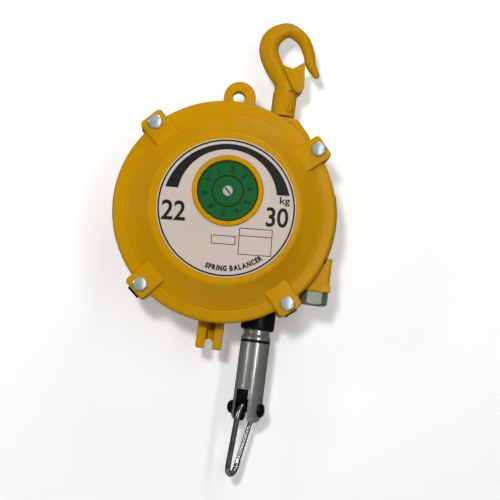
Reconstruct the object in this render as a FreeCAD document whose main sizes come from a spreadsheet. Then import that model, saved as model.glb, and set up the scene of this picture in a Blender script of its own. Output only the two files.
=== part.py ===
"""Spring balancer for hand tools: a cast round housing that hangs from a swivelling hook and pays out
a sprung wire rope with a swivel and a snap hook on its end.

The world origin is the seat of the top hook, where a bar or eye carries it.  +Z is up and the dial
faces -Y.  Pieces that share the housing's axis are drawn in the housing's own frame: x to the right,
y up and z forward, with its origin on the main shaft in the plane of the rope.
"""

import FreeCAD, Part
import math
import os
import Sketcher
from FreeCAD import Placement, Rotation, Vector

doc = FreeCAD.newDocument("spring_balancer")

# Driving sizes in millimetres and degrees, one spreadsheet cell each.
SIZES = {
    # Where the housing hangs
    "hook_offset": 50.0,
    "seat_to_shaft": 206.0,
    # Rear case
    "case_radius": 115.0,
    "case_wall": 5.0,
    "back_depth": 28.0,
    "back_corner": 12.0,
    "split_depth": 44.0,
    "back_boss_radius": 22.0,
    "back_boss_rise": 6.0,
    "back_rib_count": 6.0,
    "back_rib_width": 5.0,
    "back_rib_rise": 3.0,
    # Front cover
    "cover_radius": 117.0,
    "cover_wall": 5.0,
    "rim_rise": 12.0,
    "rim_round": 4.0,
    "ridge_radius": 101.0,
    "plateau_radius": 79.0,
    "plateau_rise": 22.0,
    "label_radius": 71.0,
    "label_thickness": 0.5,
    # Lugs and their fastenings
    "lug_angle_hook_side": 49.3,
    "lug_angle_top": 46.0,
    "lug_angle_bottom": 139.0,
    "lug_width": 27.0,
    "lug_inner": 96.0,
    "lug_outer": 126.0,
    "lug_round": 4.0,
    "lug_rise": 18.5,
    "lug_back": 14.0,
    "bolt_circle": 116.5,
    "bolt_radius": 4.0,
    "bolt_flats": 13.0,
    "bolt_head": 5.3,
    "bolt_length": 33.0,
    "washer_radius": 7.4,
    "washer_thickness": 2.0,
    "nut_width": 14.6,
    "nut_thickness": 6.4,
    "nut_inner": 108.0,
    "nut_proud": 2.2,
    # Dial window
    "dial_rise": 18.0,
    "bezel_radius": 36.6,
    "bezel_rise": 2.5,
    "window_radius": 31.4,
    "window_depth": 7.0,
    "dial_radius": 30.2,
    "dial_thickness": 3.0,
    "dial_groove_radius": 16.1,
    "dial_screw_radius": 5.5,
    "dial_screw_rise": 2.2,
    "spindle_radius": 3.0,
    # Lifting eye and bottom fork
    "eye_rise": 128.0,
    "eye_radius": 16.5,
    "eye_bore": 6.6,
    "eye_back": 12.0,
    "eye_thickness": 12.0,
    "fork_drop": 144.0,
    "fork_width": 28.0,
    "fork_offset": 2.5,
    "fork_slot": 9.0,
    "fork_depth": 22.0,
    "fork_back": -2.0,
    "fork_web": 8.0,
    # Main shaft
    "shaft_radius": 10.0,
    "shaft_nose": 7.0,
    "shaft_tail": 8.0,
    "shaft_nut_flats": 24.0,
    "shaft_nut_height": 9.0,
    # Rope drum
    "rope_radius": 2.38,
    "rope_reach": 52.5,
    "rope_pitch": 5.5,
    "drum_half": 20.0,
    "drum_flange": 62.0,
    "flange_thickness": 3.0,
    "drum_barrel_wall": 4.0,
    "drum_web": 8.0,
    "drum_hub": 18.0,
    "drum_hole": 8.0,
    "drum_hole_circle": 32.0,
    "bearing_radius": 14.0,
    "bearing_width": 8.0,
    "arbor_radius": 16.0,
    "arbor_end": 50.0,
    # Spring case with the worm wheel
    "spring_case_radius": 72.0,
    "spring_case_wall": 3.0,
    "spring_case_front": 60.0,
    "wheel_plane": 29.0,
    "wheel_face": 8.0,
    "wheel_teeth": 64.0,
    "wheel_pitch_radius": 96.0,
    "tooth_addendum": 2.4,
    "tooth_dedendum": 2.8,
    "tooth_width": 3.5,
    "tooth_taper": 0.9,
    "wheel_bush_radius": 12.0,
    "spring_thickness": 1.4,
    "spring_turns": 9.0,
    # Worm and its bushes
    "worm_pitch_radius": 9.5,
    "worm_top": 30.0,
    "worm_bottom": -56.0,
    "worm_journal": 8.0,
    "worm_tip": 6.0,
    "worm_tip_length": 7.5,
    "worm_flats": 27.0,
    "worm_head": 14.0,
    "worm_box_half": 14.5,
    "worm_box_bottom": -70.0,
    "worm_box_top": 42.0,
    "worm_box_lip": 1.2,
    "worm_box_lip_height": 8.0,
    # Indicator gears
    "gear_face": 5.0,
    "drive_gear_teeth": 30.0,
    "dial_gear_teeth": 10.0,
    # Top hook
    "barrel_radius": 13.2,
    "barrel_top": -60.0,
    "barrel_bottom": -88.5,
    "stud_radius": 8.0,
    "stud_head_radius": 13.0,
    "stud_head_height": 7.0,
    "boss_top": 116.0,
    "boss_floor": 88.0,
    "boss_radius": 15.5,
    "bush_wall": 2.0,
    "rivet_radius": 3.0,
    "rivet_head": 6.3,
    "rivet_rise": 2.4,
    "rivet_height": -79.5,
    "rivet_angle": 22.0,
    "latch_sheet": 1.5,
    "latch_gap": 10.6,
    "latch_pin_radius": 2.0,
    "latch_lug_half": 6.0,
    "latch_lug_radius": 4.2,
    # Rope end
    "buffer_top": -90.5,
    "buffer_radius": 18.2,
    "buffer_height": 27.0,
    "buffer_round": 3.0,
    "neck_radius": 14.0,
    "neck_height": 6.0,
    "collar_height": 4.5,
    "collar_gap": 2.0,
    "swivel_radius": 15.9,
    "swivel_height": 85.5,
    "swivel_turn": 30.0,
    "stem_radius": 8.0,
    "stem_head_radius": 11.0,
    "stem_head_height": 7.0,
    "stem_bearing": 3.0,
    "swivel_cap": 10.0,
    "swivel_slot": 14.5,
    "swivel_slot_height": 34.0,
    "swivel_chamfer": 5.0,
    "pin_radius": 4.0,
    "pin_rise": 13.5,
    "pin_head_radius": 7.3,
    "pin_head_height": 6.0,
    # Snap hook
    "snap_rod": 3.0,
    "snap_top_bend": 17.0,
    "snap_bottom_bend": 9.5,
    "snap_span": 52.5,
    "snap_lean": 7.0,
    "gate_rod": 2.5,
    "gate_pin_radius": 1.2,
    "gate_tongue": 2.0,
    # Clearances
    "running": 0.05,
    "press": 0.01,
    "gap": 0.5,
    "eps": 1.0,
}


class Dim:
    """A length that is known both as a number and as the spreadsheet formula that gives it."""

    def __init__(self, value, formula=None):
        self.value = float(value)
        self.formula = formula if formula else repr(float(value))

    @staticmethod
    def of(other):
        """Makes a plain number a Dim and leaves a Dim as it is."""
        return other if isinstance(other, Dim) else Dim(other)

    def join(self, other, sign, value):
        return Dim(value, f"({self.formula} {sign} {other.formula})")

    def __add__(self, other):
        other = Dim.of(other)
        return self.join(other, "+", self.value + other.value)

    def __radd__(self, other):
        return Dim.of(other) + self

    def __sub__(self, other):
        other = Dim.of(other)
        return self.join(other, "-", self.value - other.value)

    def __rsub__(self, other):
        return Dim.of(other) - self

    def __mul__(self, other):
        other = Dim.of(other)
        return self.join(other, "*", self.value * other.value)

    def __rmul__(self, other):
        return Dim.of(other) * self

    def __truediv__(self, other):
        other = Dim.of(other)
        return self.join(other, "/", self.value / other.value)

    def __neg__(self):
        return Dim(-self.value, f"(0 - {self.formula})")

    def __float__(self):
        return self.value


def sin(angle):
    """The sine of an angle in degrees, as a number and as a formula."""
    angle = Dim.of(angle)
    return Dim(math.sin(math.radians(angle.value)), f"sin({angle.formula} * 1 deg)")


def cos(angle):
    """The cosine of an angle in degrees, as a number and as a formula."""
    angle = Dim.of(angle)
    return Dim(math.cos(math.radians(angle.value)), f"cos({angle.formula} * 1 deg)")


class Sizes:
    """The spreadsheet's cells by name, each as a Dim."""

    def __init__(self, table):
        self.sheet = doc.addObject("Spreadsheet::Sheet", "sizes")
        for row, (name, value) in enumerate(table.items(), start=1):
            self.sheet.set(f"A{row}", name)
            self.sheet.set(f"B{row}", str(value))
            self.sheet.setAlias(f"B{row}", name)
            setattr(self, name, Dim(value, f"sizes.{name}"))


s = Sizes(SIZES)
doc.recompute()

# Places worked out from the driving sizes
shaft_x = -s.hook_offset
shaft_z = -s.seat_to_shaft
rim_depth = s.split_depth + s.rim_rise
plateau_depth = rim_depth + s.plateau_rise
lug_depth = s.split_depth + s.lug_rise
cavity_radius = s.case_radius - s.case_wall
cavity_back = s.case_wall - s.back_depth
window_floor = plateau_depth + s.bezel_rise - s.window_depth
worm_x = s.wheel_pitch_radius + s.worm_pitch_radius
rope_x = shaft_x + s.rope_reach
pin_z = shaft_z + s.buffer_top - s.buffer_height - s.neck_height - s.collar_height \
    - s.collar_gap - s.swivel_height + s.pin_rise

FRONT = Rotation(Vector(1, 0, 0), 90)
ALONG = {
    "x": Rotation(Vector(0, 1, 0), 90),
    "y": Rotation(Vector(1, 0, 0), -90),
    "z": Rotation(),
}
parts = []


def bind(obj, **values):
    """Sets properties to sizes: a Dim becomes an expression, anything else is set as it is."""
    for name, value in values.items():
        if isinstance(value, Dim):
            setattr(obj, name, value.value)
            obj.setExpression(name, value.formula)
        else:
            setattr(obj, name, value)


def place(obj, at, turn=Rotation()):
    """Puts an object at a point whose coordinates are bound to the sheet."""
    at = [Dim.of(value) for value in at]
    obj.Placement = Placement(Vector(*[value.value for value in at]), turn)
    for axis, value in zip("xyz", at):
        obj.setExpression(f"Placement.Base.{axis}", value.formula)
    return obj


def cylinder(radius, height, at=(0, 0, 0), along="z", name="round"):
    """A cylinder whose end rests at a point and which runs along x, y or z."""
    obj = doc.addObject("Part::Cylinder", name)
    bind(obj, Radius=Dim.of(radius), Height=Dim.of(height))
    return place(obj, at, ALONG[along])


def cone(radius_1, radius_2, height, at=(0, 0, 0), along="z", name="cone"):
    """A cone or taper given by the radius at its foot and at its far end."""
    obj = doc.addObject("Part::Cone", name)
    bind(obj, Radius1=Dim.of(radius_1), Radius2=Dim.of(radius_2), Height=Dim.of(height))
    return place(obj, at, ALONG[along])


def box(x_size, y_size, z_size, at=(0, 0, 0), name="block"):
    """A block given by its sizes and its lowest corner."""
    obj = doc.addObject("Part::Box", name)
    bind(obj, Length=Dim.of(x_size), Width=Dim.of(y_size), Height=Dim.of(z_size))
    return place(obj, at)


def hexagon(flats, height, at=(0, 0, 0), name="hexagon"):
    """A hexagonal prism given by its width across flats."""
    obj = doc.addObject("Part::Prism", name)
    bind(obj, Polygon=6, Circumradius=flats / math.sqrt(3), Height=Dim.of(height))
    return place(obj, at)


def fuse(*objects, name="joined"):
    """Joins objects into one solid; a single object comes back as it is."""
    if len(objects) == 1:
        return objects[0]
    obj = doc.addObject("Part::MultiFuse", name)
    obj.Shapes = list(objects)
    return obj


def cut(base, *tools, name="hollowed"):
    """Takes every tool away from the base."""
    obj = doc.addObject("Part::Cut", name)
    obj.Base = base
    obj.Tool = fuse(*tools, name=name + "_tools")
    return obj


def common(first, second, name="shared"):
    """Keeps what two objects share."""
    obj = doc.addObject("Part::Common", name)
    obj.Base = first
    obj.Tool = second
    return obj


def tube(outer, inner, height, at=(0, 0, 0), along="z", name="tube"):
    """A ring or sleeve with a round bore."""
    return cut(cylinder(outer, height, at, along), cylinder(inner, height, at, along), name=name)


def group(*objects, name="set"):
    """Keeps objects together as one shape without joining their solids."""
    obj = doc.addObject("Part::Compound", name)
    obj.Links = list(objects)
    return obj


def turned(obj, angle, name="turned"):
    """Turns an object about its frame's Z axis; what comes back can be placed on its own."""
    inner = group(obj, name=name)
    inner.Placement = Placement(Vector(), Rotation(Vector(0, 0, 1), float(angle)))
    inner.setExpression("Placement.Rotation.Angle", Dim.of(angle).formula)
    return group(inner, name=name + "_set")


def start_body(name):
    """A new body for sketches and the features made from them."""
    return doc.addObject("PartDesign::Body", name)


def outline(body, plane, points, name="outline", offset=0):
    """A closed sketch of straight lines whose corners are bound to the sheet."""
    sketch = body.newObject("Sketcher::SketchObject", name)
    support = [part for part in body.Origin.OriginFeatures if part.Role == plane + "_Plane"][0]
    sketch.AttachmentSupport = [(support, "")]
    sketch.MapMode = "FlatFace"
    offset = Dim.of(offset)
    sketch.AttachmentOffset = Placement(Vector(0, 0, offset.value), Rotation())
    sketch.setExpression("AttachmentOffset.Base.z", offset.formula)
    points = [(Dim.of(x), Dim.of(y)) for x, y in points]
    count = len(points)
    for index, (x, y) in enumerate(points):
        x_next, y_next = points[(index + 1) % count]
        start = Vector(x.value, y.value, 0)
        end = Vector(x_next.value, y_next.value, 0)
        sketch.addGeometry(Part.LineSegment(start, end))
    for index in range(count):
        after = (index + 1) % count
        sketch.addConstraint(Sketcher.Constraint("Coincident", index, 2, after, 1))
    for index, corner in enumerate(points):
        for kind, value in zip(("DistanceX", "DistanceY"), corner):
            number = sketch.addConstraint(Sketcher.Constraint(kind, -1, 1, index, 1, value.value))
            sketch.setExpression(f"Constraints[{number}]", value.formula)
    return sketch


def revolve(body, points, name="revolved"):
    """Turns an outline of (radius, height) corners about the body's Z axis."""
    sketch = outline(body, "XZ", points, name + "_outline")
    feature = body.newObject("PartDesign::Revolution", name)
    feature.Profile = sketch
    feature.ReferenceAxis = (sketch, ["V_Axis"])
    feature.Angle = 360
    return feature


def pad(body, points, depth, plane="XY", offset=0, midplane=False, name="padded"):
    """Extrudes an outline of (x, y) corners square to its plane."""
    sketch = outline(body, plane, points, name + "_outline", offset)
    feature = body.newObject("PartDesign::Pad", name)
    feature.Profile = sketch
    feature.Midplane = midplane
    bind(feature, Length=Dim.of(depth))
    return feature


def round_edges(body, radius, chosen, name="rounding"):
    """Rounds the edges of the body's last feature for which chosen(edge) is true."""
    doc.recompute()
    base = body.Tip
    names = [f"Edge{index}" for index, edge in enumerate(base.Shape.Edges, start=1) if chosen(edge)]
    feature = body.newObject("PartDesign::Fillet", name)
    feature.Base = (base, names)
    bind(feature, Radius=Dim.of(radius))
    return feature


def near(first, second):
    """True where two lengths are the same to a hundredth of a millimetre."""
    return abs(float(first) - float(second)) < 0.01


def arc(centre_x, centre_y, radius, start, end, steps=3):
    """Corners along an arc, which round a revolved rim with a few short cones."""
    angles = [start + (end - start) * step / steps for step in range(steps + 1)]
    return [(centre_x + radius * cos(angle), centre_y + radius * sin(angle)) for angle in angles]


def finish(obj, label, frame=None, at=None, turn=None):
    """Names a sub-part and puts it in its place: in the housing's frame, or at a point in the world."""
    obj.Label = label
    if frame == "front":
        place(obj, (shaft_x, 0, shaft_z), FRONT)
    elif at is not None:
        place(obj, at, turn or Rotation())
    parts.append(obj)
    return obj


def solid_part(shape, label, at=(0, 0, 0), turn=Rotation()):
    """A sub-part whose shape comes from curves that the primitives don't give."""
    obj = doc.addObject("Part::Feature", label)
    obj.Shape = shape
    obj.Label = label
    place(obj, at, turn)
    return obj


# --- Lugs shared by the case and the cover -------------------------------------------------------
LUG_ANGLES = (s.lug_angle_hook_side, -s.lug_angle_top, s.lug_angle_bottom, -s.lug_angle_bottom)


def lug(angle, inner, back, front, name):
    """A block that stands out radially, with rounded outer corners; the angle is clockwise from the top."""
    body = start_body(name)
    half = s.lug_width / 2
    corners = [(-half, inner), (half, inner), (half, s.lug_outer), (-half, s.lug_outer)]
    pad(body, corners, front - back, offset=back, name=name + "_pad")
    round_edges(body, s.lug_round, lambda edge: len(edge.Vertexes) == 2
                and all(near(point.Y, s.lug_outer) for point in edge.Vertexes)
                and near(edge.Vertexes[0].X, edge.Vertexes[1].X), name + "_corners")
    return turned(body, -angle)


def on_bolt_circle(angle, radius=s.bolt_circle):
    """The x and y of a bolt, with the angle clockwise from the top."""
    return radius * sin(angle), radius * cos(angle)


def bolt_holes(radius, back, front):
    """The cutters for the four bolt holes."""
    return [cylinder(radius, front - back, (*on_bolt_circle(angle), back)) for angle in LUG_ANGLES]


# --- Front cover ---------------------------------------------------------------------------------
def make_front_cover():
    """The pressed-up front: rim, sloping shoulder, flat face with the dial window, and four lugs."""
    shell = start_body("cover_shell")
    inner_ridge = s.ridge_radius - s.cover_wall * 0.6
    inner_plateau = s.plateau_radius - s.cover_wall * 0.8
    rim = s.rim_round
    slope = math.degrees(math.atan2(SIZES["plateau_rise"], SIZES["ridge_radius"] - SIZES["plateau_radius"]))
    revolve(shell, [
        (s.cover_radius, s.split_depth),
        *arc(s.cover_radius - rim, rim_depth - rim, rim, 0, 90),
        (s.ridge_radius + s.eps, rim_depth),
        (s.ridge_radius - s.eps, rim_depth + s.eps),
        *arc(s.plateau_radius - rim / 2, plateau_depth - rim, rim, 90 - slope, 90),
        (0, plateau_depth),
        (0, plateau_depth - s.cover_wall),
        (inner_plateau, plateau_depth - s.cover_wall),
        (inner_ridge, rim_depth - s.cover_wall),
        (cavity_radius, rim_depth - s.cover_wall),
        (cavity_radius, s.split_depth),
    ])

    bezel = start_body("bezel")
    bezel_top = plateau_depth + s.bezel_rise
    bezel_back = window_floor - s.cover_wall
    lip = s.bezel_rise / 2
    revolve(bezel, [
        (0, bezel_back),
        (s.bezel_radius, bezel_back),
        *arc(s.bezel_radius - lip, bezel_top - lip, lip, 0, 90, 2),
        (s.window_radius, bezel_top),
        (s.window_radius, window_floor),
        (0, window_floor),
    ], "bezel_ring")
    place(bezel, (0, s.dial_rise, 0))

    nose_seat = cylinder(s.shaft_nose + s.cover_wall, plateau_depth - shaft_front - s.cover_wall / 2,
                         (0, 0, shaft_front))
    lugs = [lug(angle, s.lug_inner, s.split_depth, lug_depth, "cover_lug") for angle in LUG_ANGLES]
    metal = fuse(shell, nose_seat, *lugs)
    window = cylinder(s.window_radius, s.window_depth + s.eps, (0, s.dial_rise, window_floor))
    opened = fuse(cut(metal, window), bezel)
    spindle_hole = cylinder(s.spindle_radius + s.running, plateau_depth, (0, s.dial_rise, 0))
    nose_bore = cylinder(s.shaft_nose + s.running, s.cover_wall + s.gap, (0, 0, shaft_front))
    inside = cylinder(cavity_radius, s.gap, (0, 0, s.split_depth - s.gap))
    holes = bolt_holes(s.bolt_radius + s.gap, s.split_depth - s.eps, lug_depth + s.eps)
    finish(cut(opened, spindle_hole, nose_bore, inside, *holes), "front_cover", "front")


shaft_front = s.spring_case_front + s.gear_face + s.eps


# --- Rear case -----------------------------------------------------------------------------------
def make_rear_case():
    """The deep casting that holds the works and carries the hook, the worm box, the eye and the fork."""
    shell = start_body("case_shell")
    corner = s.back_corner
    inner = corner - s.case_wall
    revolve(shell, [
        (s.case_radius, s.split_depth),
        (cavity_radius, s.split_depth),
        *arc(cavity_radius - inner, cavity_back + inner, inner, 0, -90),
        (0, cavity_back),
        (0, -s.back_depth),
        *arc(s.case_radius - corner, corner - s.back_depth, corner, -90, 0, 4),
    ])

    boss_back = -s.back_depth - s.back_boss_rise
    metal = [shell, cylinder(s.back_boss_radius, drum_back - s.gap - boss_back, (0, 0, boss_back))]
    rib_length = s.case_radius - s.back_corner - s.eps
    for index in range(int(SIZES["back_rib_count"])):
        rib = box(rib_length, s.back_rib_width, s.back_rib_rise + s.case_wall / 2,
                  (0, -s.back_rib_width / 2, -s.back_depth - s.back_rib_rise))
        spoke = fuse(rib, cylinder(s.back_rib_width, s.back_rib_rise + s.case_wall / 2,
                                   (rib_length, 0, -s.back_depth - s.back_rib_rise)))
        metal.append(turned(spoke, (index + 0.5) * Dim(360.0) / s.back_rib_count))

    lug_back = s.split_depth - s.lug_back
    metal += [lug(angle, s.lug_inner + s.eps * 8, lug_back, s.split_depth, "case_lug")
              for angle in LUG_ANGLES]
    metal += [hook_boss(), *lifting_eye(), bottom_fork(), *worm_box(), rope_mouth()]

    wheel_slot = s.wheel_face / 2 + s.eps * 3
    wheel_room = cylinder(s.wheel_pitch_radius + s.tooth_addendum + s.eps * 2, wheel_slot * 2,
                          (0, 0, s.wheel_plane - wheel_slot))
    tools = [wheel_room, *bolt_holes(s.bolt_radius + s.gap, lug_back - s.eps, s.split_depth + s.eps)]
    tools += [nut_slot(angle) for angle in LUG_ANGLES]
    tools += [
        cylinder(s.shaft_radius + s.press, s.back_depth * 2, (0, 0, boss_back - s.eps)),
        cylinder(s.stud_radius + s.bush_wall + s.press, s.boss_top, (s.hook_offset, s.boss_floor - s.eps, 0), "y"),
        cylinder(s.eye_bore, s.eye_thickness + s.eps * 2, (0, s.eye_rise, s.eye_back - s.eps)),
        cylinder(s.buffer_radius + s.eps, s.buffer_height * 2,
                 (s.rope_reach, s.buffer_top + s.gap - s.buffer_height * 2, 0), "y"),
        cylinder(guide_radius + s.press, s.case_wall * 4, (s.rope_reach, s.buffer_top - s.eps, 0), "y"),
        cylinder(worm_bore, s.worm_top - s.worm_box_bottom + s.eps,
                 (worm_x, s.worm_box_bottom - s.eps, s.wheel_plane), "y"),
        cylinder(s.worm_tip + s.running, s.worm_tip_length + s.eps * 2,
                 (worm_x, s.worm_top - s.eps, s.wheel_plane), "y"),
        cylinder(s.worm_flats / math.sqrt(3) + s.eps, s.worm_head * 2,
                 (worm_x, s.worm_box_bottom - s.worm_head * 2, s.wheel_plane), "y"),
        cylinder(s.stud_head_radius + s.eps, s.stud_head_height * 2,
                 (s.hook_offset, s.boss_floor - s.stud_head_height * 2, 0), "y"),
    ]
    finish(cut(fuse(*metal), *tools), "rear_case", "front")


drum_back = -s.drum_half
guide_radius = s.rope_radius * 4
worm_bore = s.worm_pitch_radius + s.tooth_addendum + s.gap
guide_top = s.buffer_top + s.case_wall


def hook_boss():
    """The shoulder that carries the hook: broad where it grows out of the rim, narrow at the top."""
    body = start_body("hook_boss")
    left = s.hook_offset - s.boss_radius
    right = s.hook_offset + s.boss_radius
    flank = s.boss_radius * 1.07
    pad(body, [
        (left - s.boss_radius, s.boss_floor + s.boss_radius),
        (left - s.eps, s.boss_floor),
        (right + s.eps, s.boss_floor),
        (right + s.boss_radius * 0.7, s.boss_floor - s.boss_radius * 0.75),
        (right + s.boss_radius * 1.3, s.boss_floor - s.boss_radius * 0.75),
        (right + flank, s.boss_top - flank * 1.1),
        (right, s.boss_top),
        (left, s.boss_top),
    ], s.boss_radius * 2, midplane=True)
    return body


def lifting_eye():
    """The ring for a safety chain at the top of the rim."""
    neck = box(s.eye_radius * 2, s.eye_rise - cavity_radius - s.eps, s.eye_thickness,
               (-s.eye_radius, cavity_radius + s.eps, s.eye_back))
    return cylinder(s.eye_radius, s.eye_thickness, (0, s.eye_rise, s.eye_back)), neck


def bottom_fork():
    """A two-pronged lug under the case: a channel with a thin web, arched at the bottom."""
    top = -cavity_radius - s.eps
    height = s.fork_drop + top
    left = s.fork_offset - s.fork_width / 2
    slot_left = s.fork_offset - s.fork_slot / 2
    block = box(s.fork_width, height, s.fork_depth, (left, -s.fork_drop, s.fork_back))
    slot = box(s.fork_slot, height, s.fork_depth, (slot_left, -s.fork_drop, s.fork_back + s.fork_web))
    arch_height = s.fork_slot * 0.7
    arch = fuse(
        box(s.fork_slot, arch_height, s.fork_depth * 2, (slot_left, -s.fork_drop, -s.fork_depth)),
        cylinder(s.fork_slot / 2, s.fork_depth * 2, (s.fork_offset, arch_height - s.fork_drop, -s.fork_depth)))
    return cut(block, slot, arch, name="fork")


def worm_box():
    """The upright housing of the worm beside the rim, with a lip round its open foot."""
    half = s.worm_box_half
    height = s.worm_box_top - s.worm_box_bottom
    shaft = box(half * 2, height, half * 2, (worm_x - half, s.worm_box_bottom, s.wheel_plane - half))
    wide = half + s.worm_box_lip
    lip = box(wide * 2, s.worm_box_lip_height, wide + half,
              (worm_x - wide, s.worm_box_bottom, s.wheel_plane - wide))
    return shaft, lip


def rope_mouth():
    """A well in the case's floor that takes the rubber buffer when the rope is wound in."""
    well = cylinder(s.buffer_radius + s.case_wall * 1.3, s.case_radius + s.buffer_top + s.case_wall,
                    (s.rope_reach, -s.case_radius, 0), "y")
    disc = cylinder(s.case_radius - s.eps / 2, s.back_depth * 2, (0, 0, -s.back_depth))
    return common(well, disc)


def nut_slot(angle):
    """The pocket that keeps a bolt's square nut from turning."""
    depth = s.lug_outer - s.nut_inner + s.eps
    slot = box(s.nut_width + s.gap, depth, s.nut_thickness + s.gap,
               (-(s.nut_width + s.gap) / 2, s.nut_inner - s.gap / 2, nut_back - s.gap / 2))
    return turned(slot, -angle)


nut_back = s.split_depth - s.lug_back / 2 - s.nut_thickness / 2


# --- Fastenings of the cover ---------------------------------------------------------------------
def make_fastenings():
    """Four bolts with round washers in front and square nuts in the lugs' pockets."""
    bolts = []
    washers = []
    nuts = []
    seat = lug_depth + s.washer_thickness
    for angle in LUG_ANGLES:
        x, y = on_bolt_circle(angle)
        head = common(hexagon(s.bolt_flats, s.bolt_head, (x, y, seat)),
                      cone(s.bolt_flats * 0.66, s.bolt_flats * 0.5, s.bolt_head, (x, y, seat)))
        bolts.append(fuse(head, cylinder(s.bolt_radius, s.bolt_length, (x, y, seat - s.bolt_length))))
        washers.append(tube(s.washer_radius, s.bolt_radius + s.press, s.washer_thickness, (x, y, lug_depth)))
        plate = box(s.nut_width, s.lug_outer + s.nut_proud - s.nut_inner, s.nut_thickness,
                    (-s.nut_width / 2, s.nut_inner, nut_back))
        nuts.append(cut(turned(plate, -angle),
                        cylinder(s.bolt_radius + s.press, s.lug_back * 2, (x, y, nut_back - s.lug_back))))
    for label, pieces in (("cover_bolts", bolts), ("cover_washers", washers), ("cover_nuts", nuts)):
        finish(group(*pieces), label, "front")


# --- Label and dial ------------------------------------------------------------------------------
def make_dial():
    """The printed plate, and the dial with its screw and its geared spindle."""
    finish(cut(cylinder(s.label_radius, s.label_thickness, (0, 0, plateau_depth)),
               cylinder(s.bezel_radius + s.gap / 2, s.eps * 2, (0, s.dial_rise, plateau_depth - s.eps))),
           "label_plate", "front")

    disc = start_body("dial_body")
    back = window_floor + s.gap
    front = back + s.dial_thickness
    groove = s.dial_groove_radius
    revolve(disc, [
        (0, back),
        (s.dial_radius, back),
        (s.dial_radius, front),
        (groove + s.gap, front),
        (groove, front - s.gap),
        (groove - s.gap, front),
        (0, front),
    ])
    finish(disc, "dial_disc")
    place(disc, (shaft_x, 0, shaft_z + s.dial_rise), FRONT)

    head = cylinder(s.dial_screw_radius, s.dial_screw_rise, (0, 0, front))
    slot = box(s.dial_screw_radius * 3, s.eps, s.eps,
               (-s.dial_screw_radius * 1.5, -s.eps / 2, front + s.dial_screw_rise - s.eps))
    screw = finish(cut(head, slot), "dial_screw")
    place(screw, (shaft_x, 0, shaft_z + s.dial_rise), FRONT)

    gear_back = s.spring_case_front + s.gap / 2
    pinion = gear(s.dial_gear_teeth, dial_gear_radius, gear_back, s.gear_face - s.gap / 2, "pinion", 0.5)
    spindle = cylinder(s.spindle_radius, back - gear_back, (0, 0, gear_back))
    stem = finish(fuse(pinion, spindle), "dial_spindle")
    place(stem, (shaft_x, 0, shaft_z + s.dial_rise), FRONT)


drive_gear_radius = s.dial_rise * s.drive_gear_teeth / (s.drive_gear_teeth + s.dial_gear_teeth)
dial_gear_radius = s.dial_rise - drive_gear_radius


def gear(teeth, pitch_radius, back, face, name, turn=0.0):
    """A small spur gear with slim teeth; turn is the share of a tooth by which it is set round."""
    body = start_body(name)
    step = pitch_radius * 2 / teeth
    root = pitch_radius - step * 0.75
    tip = pitch_radius + step * 0.6
    blank = body.newObject("PartDesign::AdditiveCylinder", name + "_blank")
    bind(blank, Radius=root, Height=Dim.of(face))
    place(blank, (0, 0, back))
    foot = step * 0.66
    crown = step * 0.28
    tooth = pad(body, [(-foot, root - step * 0.3), (foot, root - step * 0.3), (crown, tip), (-crown, tip)],
                face, offset=back, name=name + "_tooth")
    repeat_about_axis(body, tooth, teeth)
    return turned(body, Dim(turn * 360.0) / teeth)


def repeat_about_axis(body, feature, count):
    """Repeats a feature round the body's Z axis and makes the pattern the body's tip."""
    axis = [part for part in body.Origin.OriginFeatures if part.Role == "Z_Axis"][0]
    pattern = body.newObject("PartDesign::PolarPattern", feature.Name + "_pattern")
    pattern.Originals = [feature]
    pattern.Axis = (axis, [""])
    pattern.Angle = 360
    bind(pattern, Occurrences=int(float(count)))
    pattern.setExpression("Occurrences", count.formula)
    body.Tip = pattern
    return pattern


# --- Main shaft, drum and rope -------------------------------------------------------------------
def make_shaft():
    """The fixed shaft through the housing, with its washer and nut behind."""
    back = -s.back_depth - s.back_boss_rise
    washer = s.washer_thickness
    tail = s.shaft_nut_height + washer + s.eps
    shaft = fuse(cylinder(s.shaft_radius, shaft_front - back - s.gap, (0, 0, back)),
                 cylinder(s.shaft_nose, s.cover_wall, (0, 0, shaft_front - s.gap)),
                 cylinder(s.shaft_tail, tail, (0, 0, back - tail)))
    finish(shaft, "main_shaft", "front")
    finish(tube(s.back_boss_radius - s.eps * 4, s.shaft_tail + s.press, washer, (0, 0, back - washer)),
           "shaft_washer", "front")
    nut_back_face = back - washer - s.shaft_nut_height
    finish(cut(hexagon(s.shaft_nut_flats, s.shaft_nut_height, (0, 0, nut_back_face)),
               cylinder(s.shaft_tail + s.press, s.shaft_nut_height, (0, 0, nut_back_face))),
           "shaft_nut", "front")


groove_radius = s.rope_reach - s.rope_radius - s.press * 2


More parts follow.
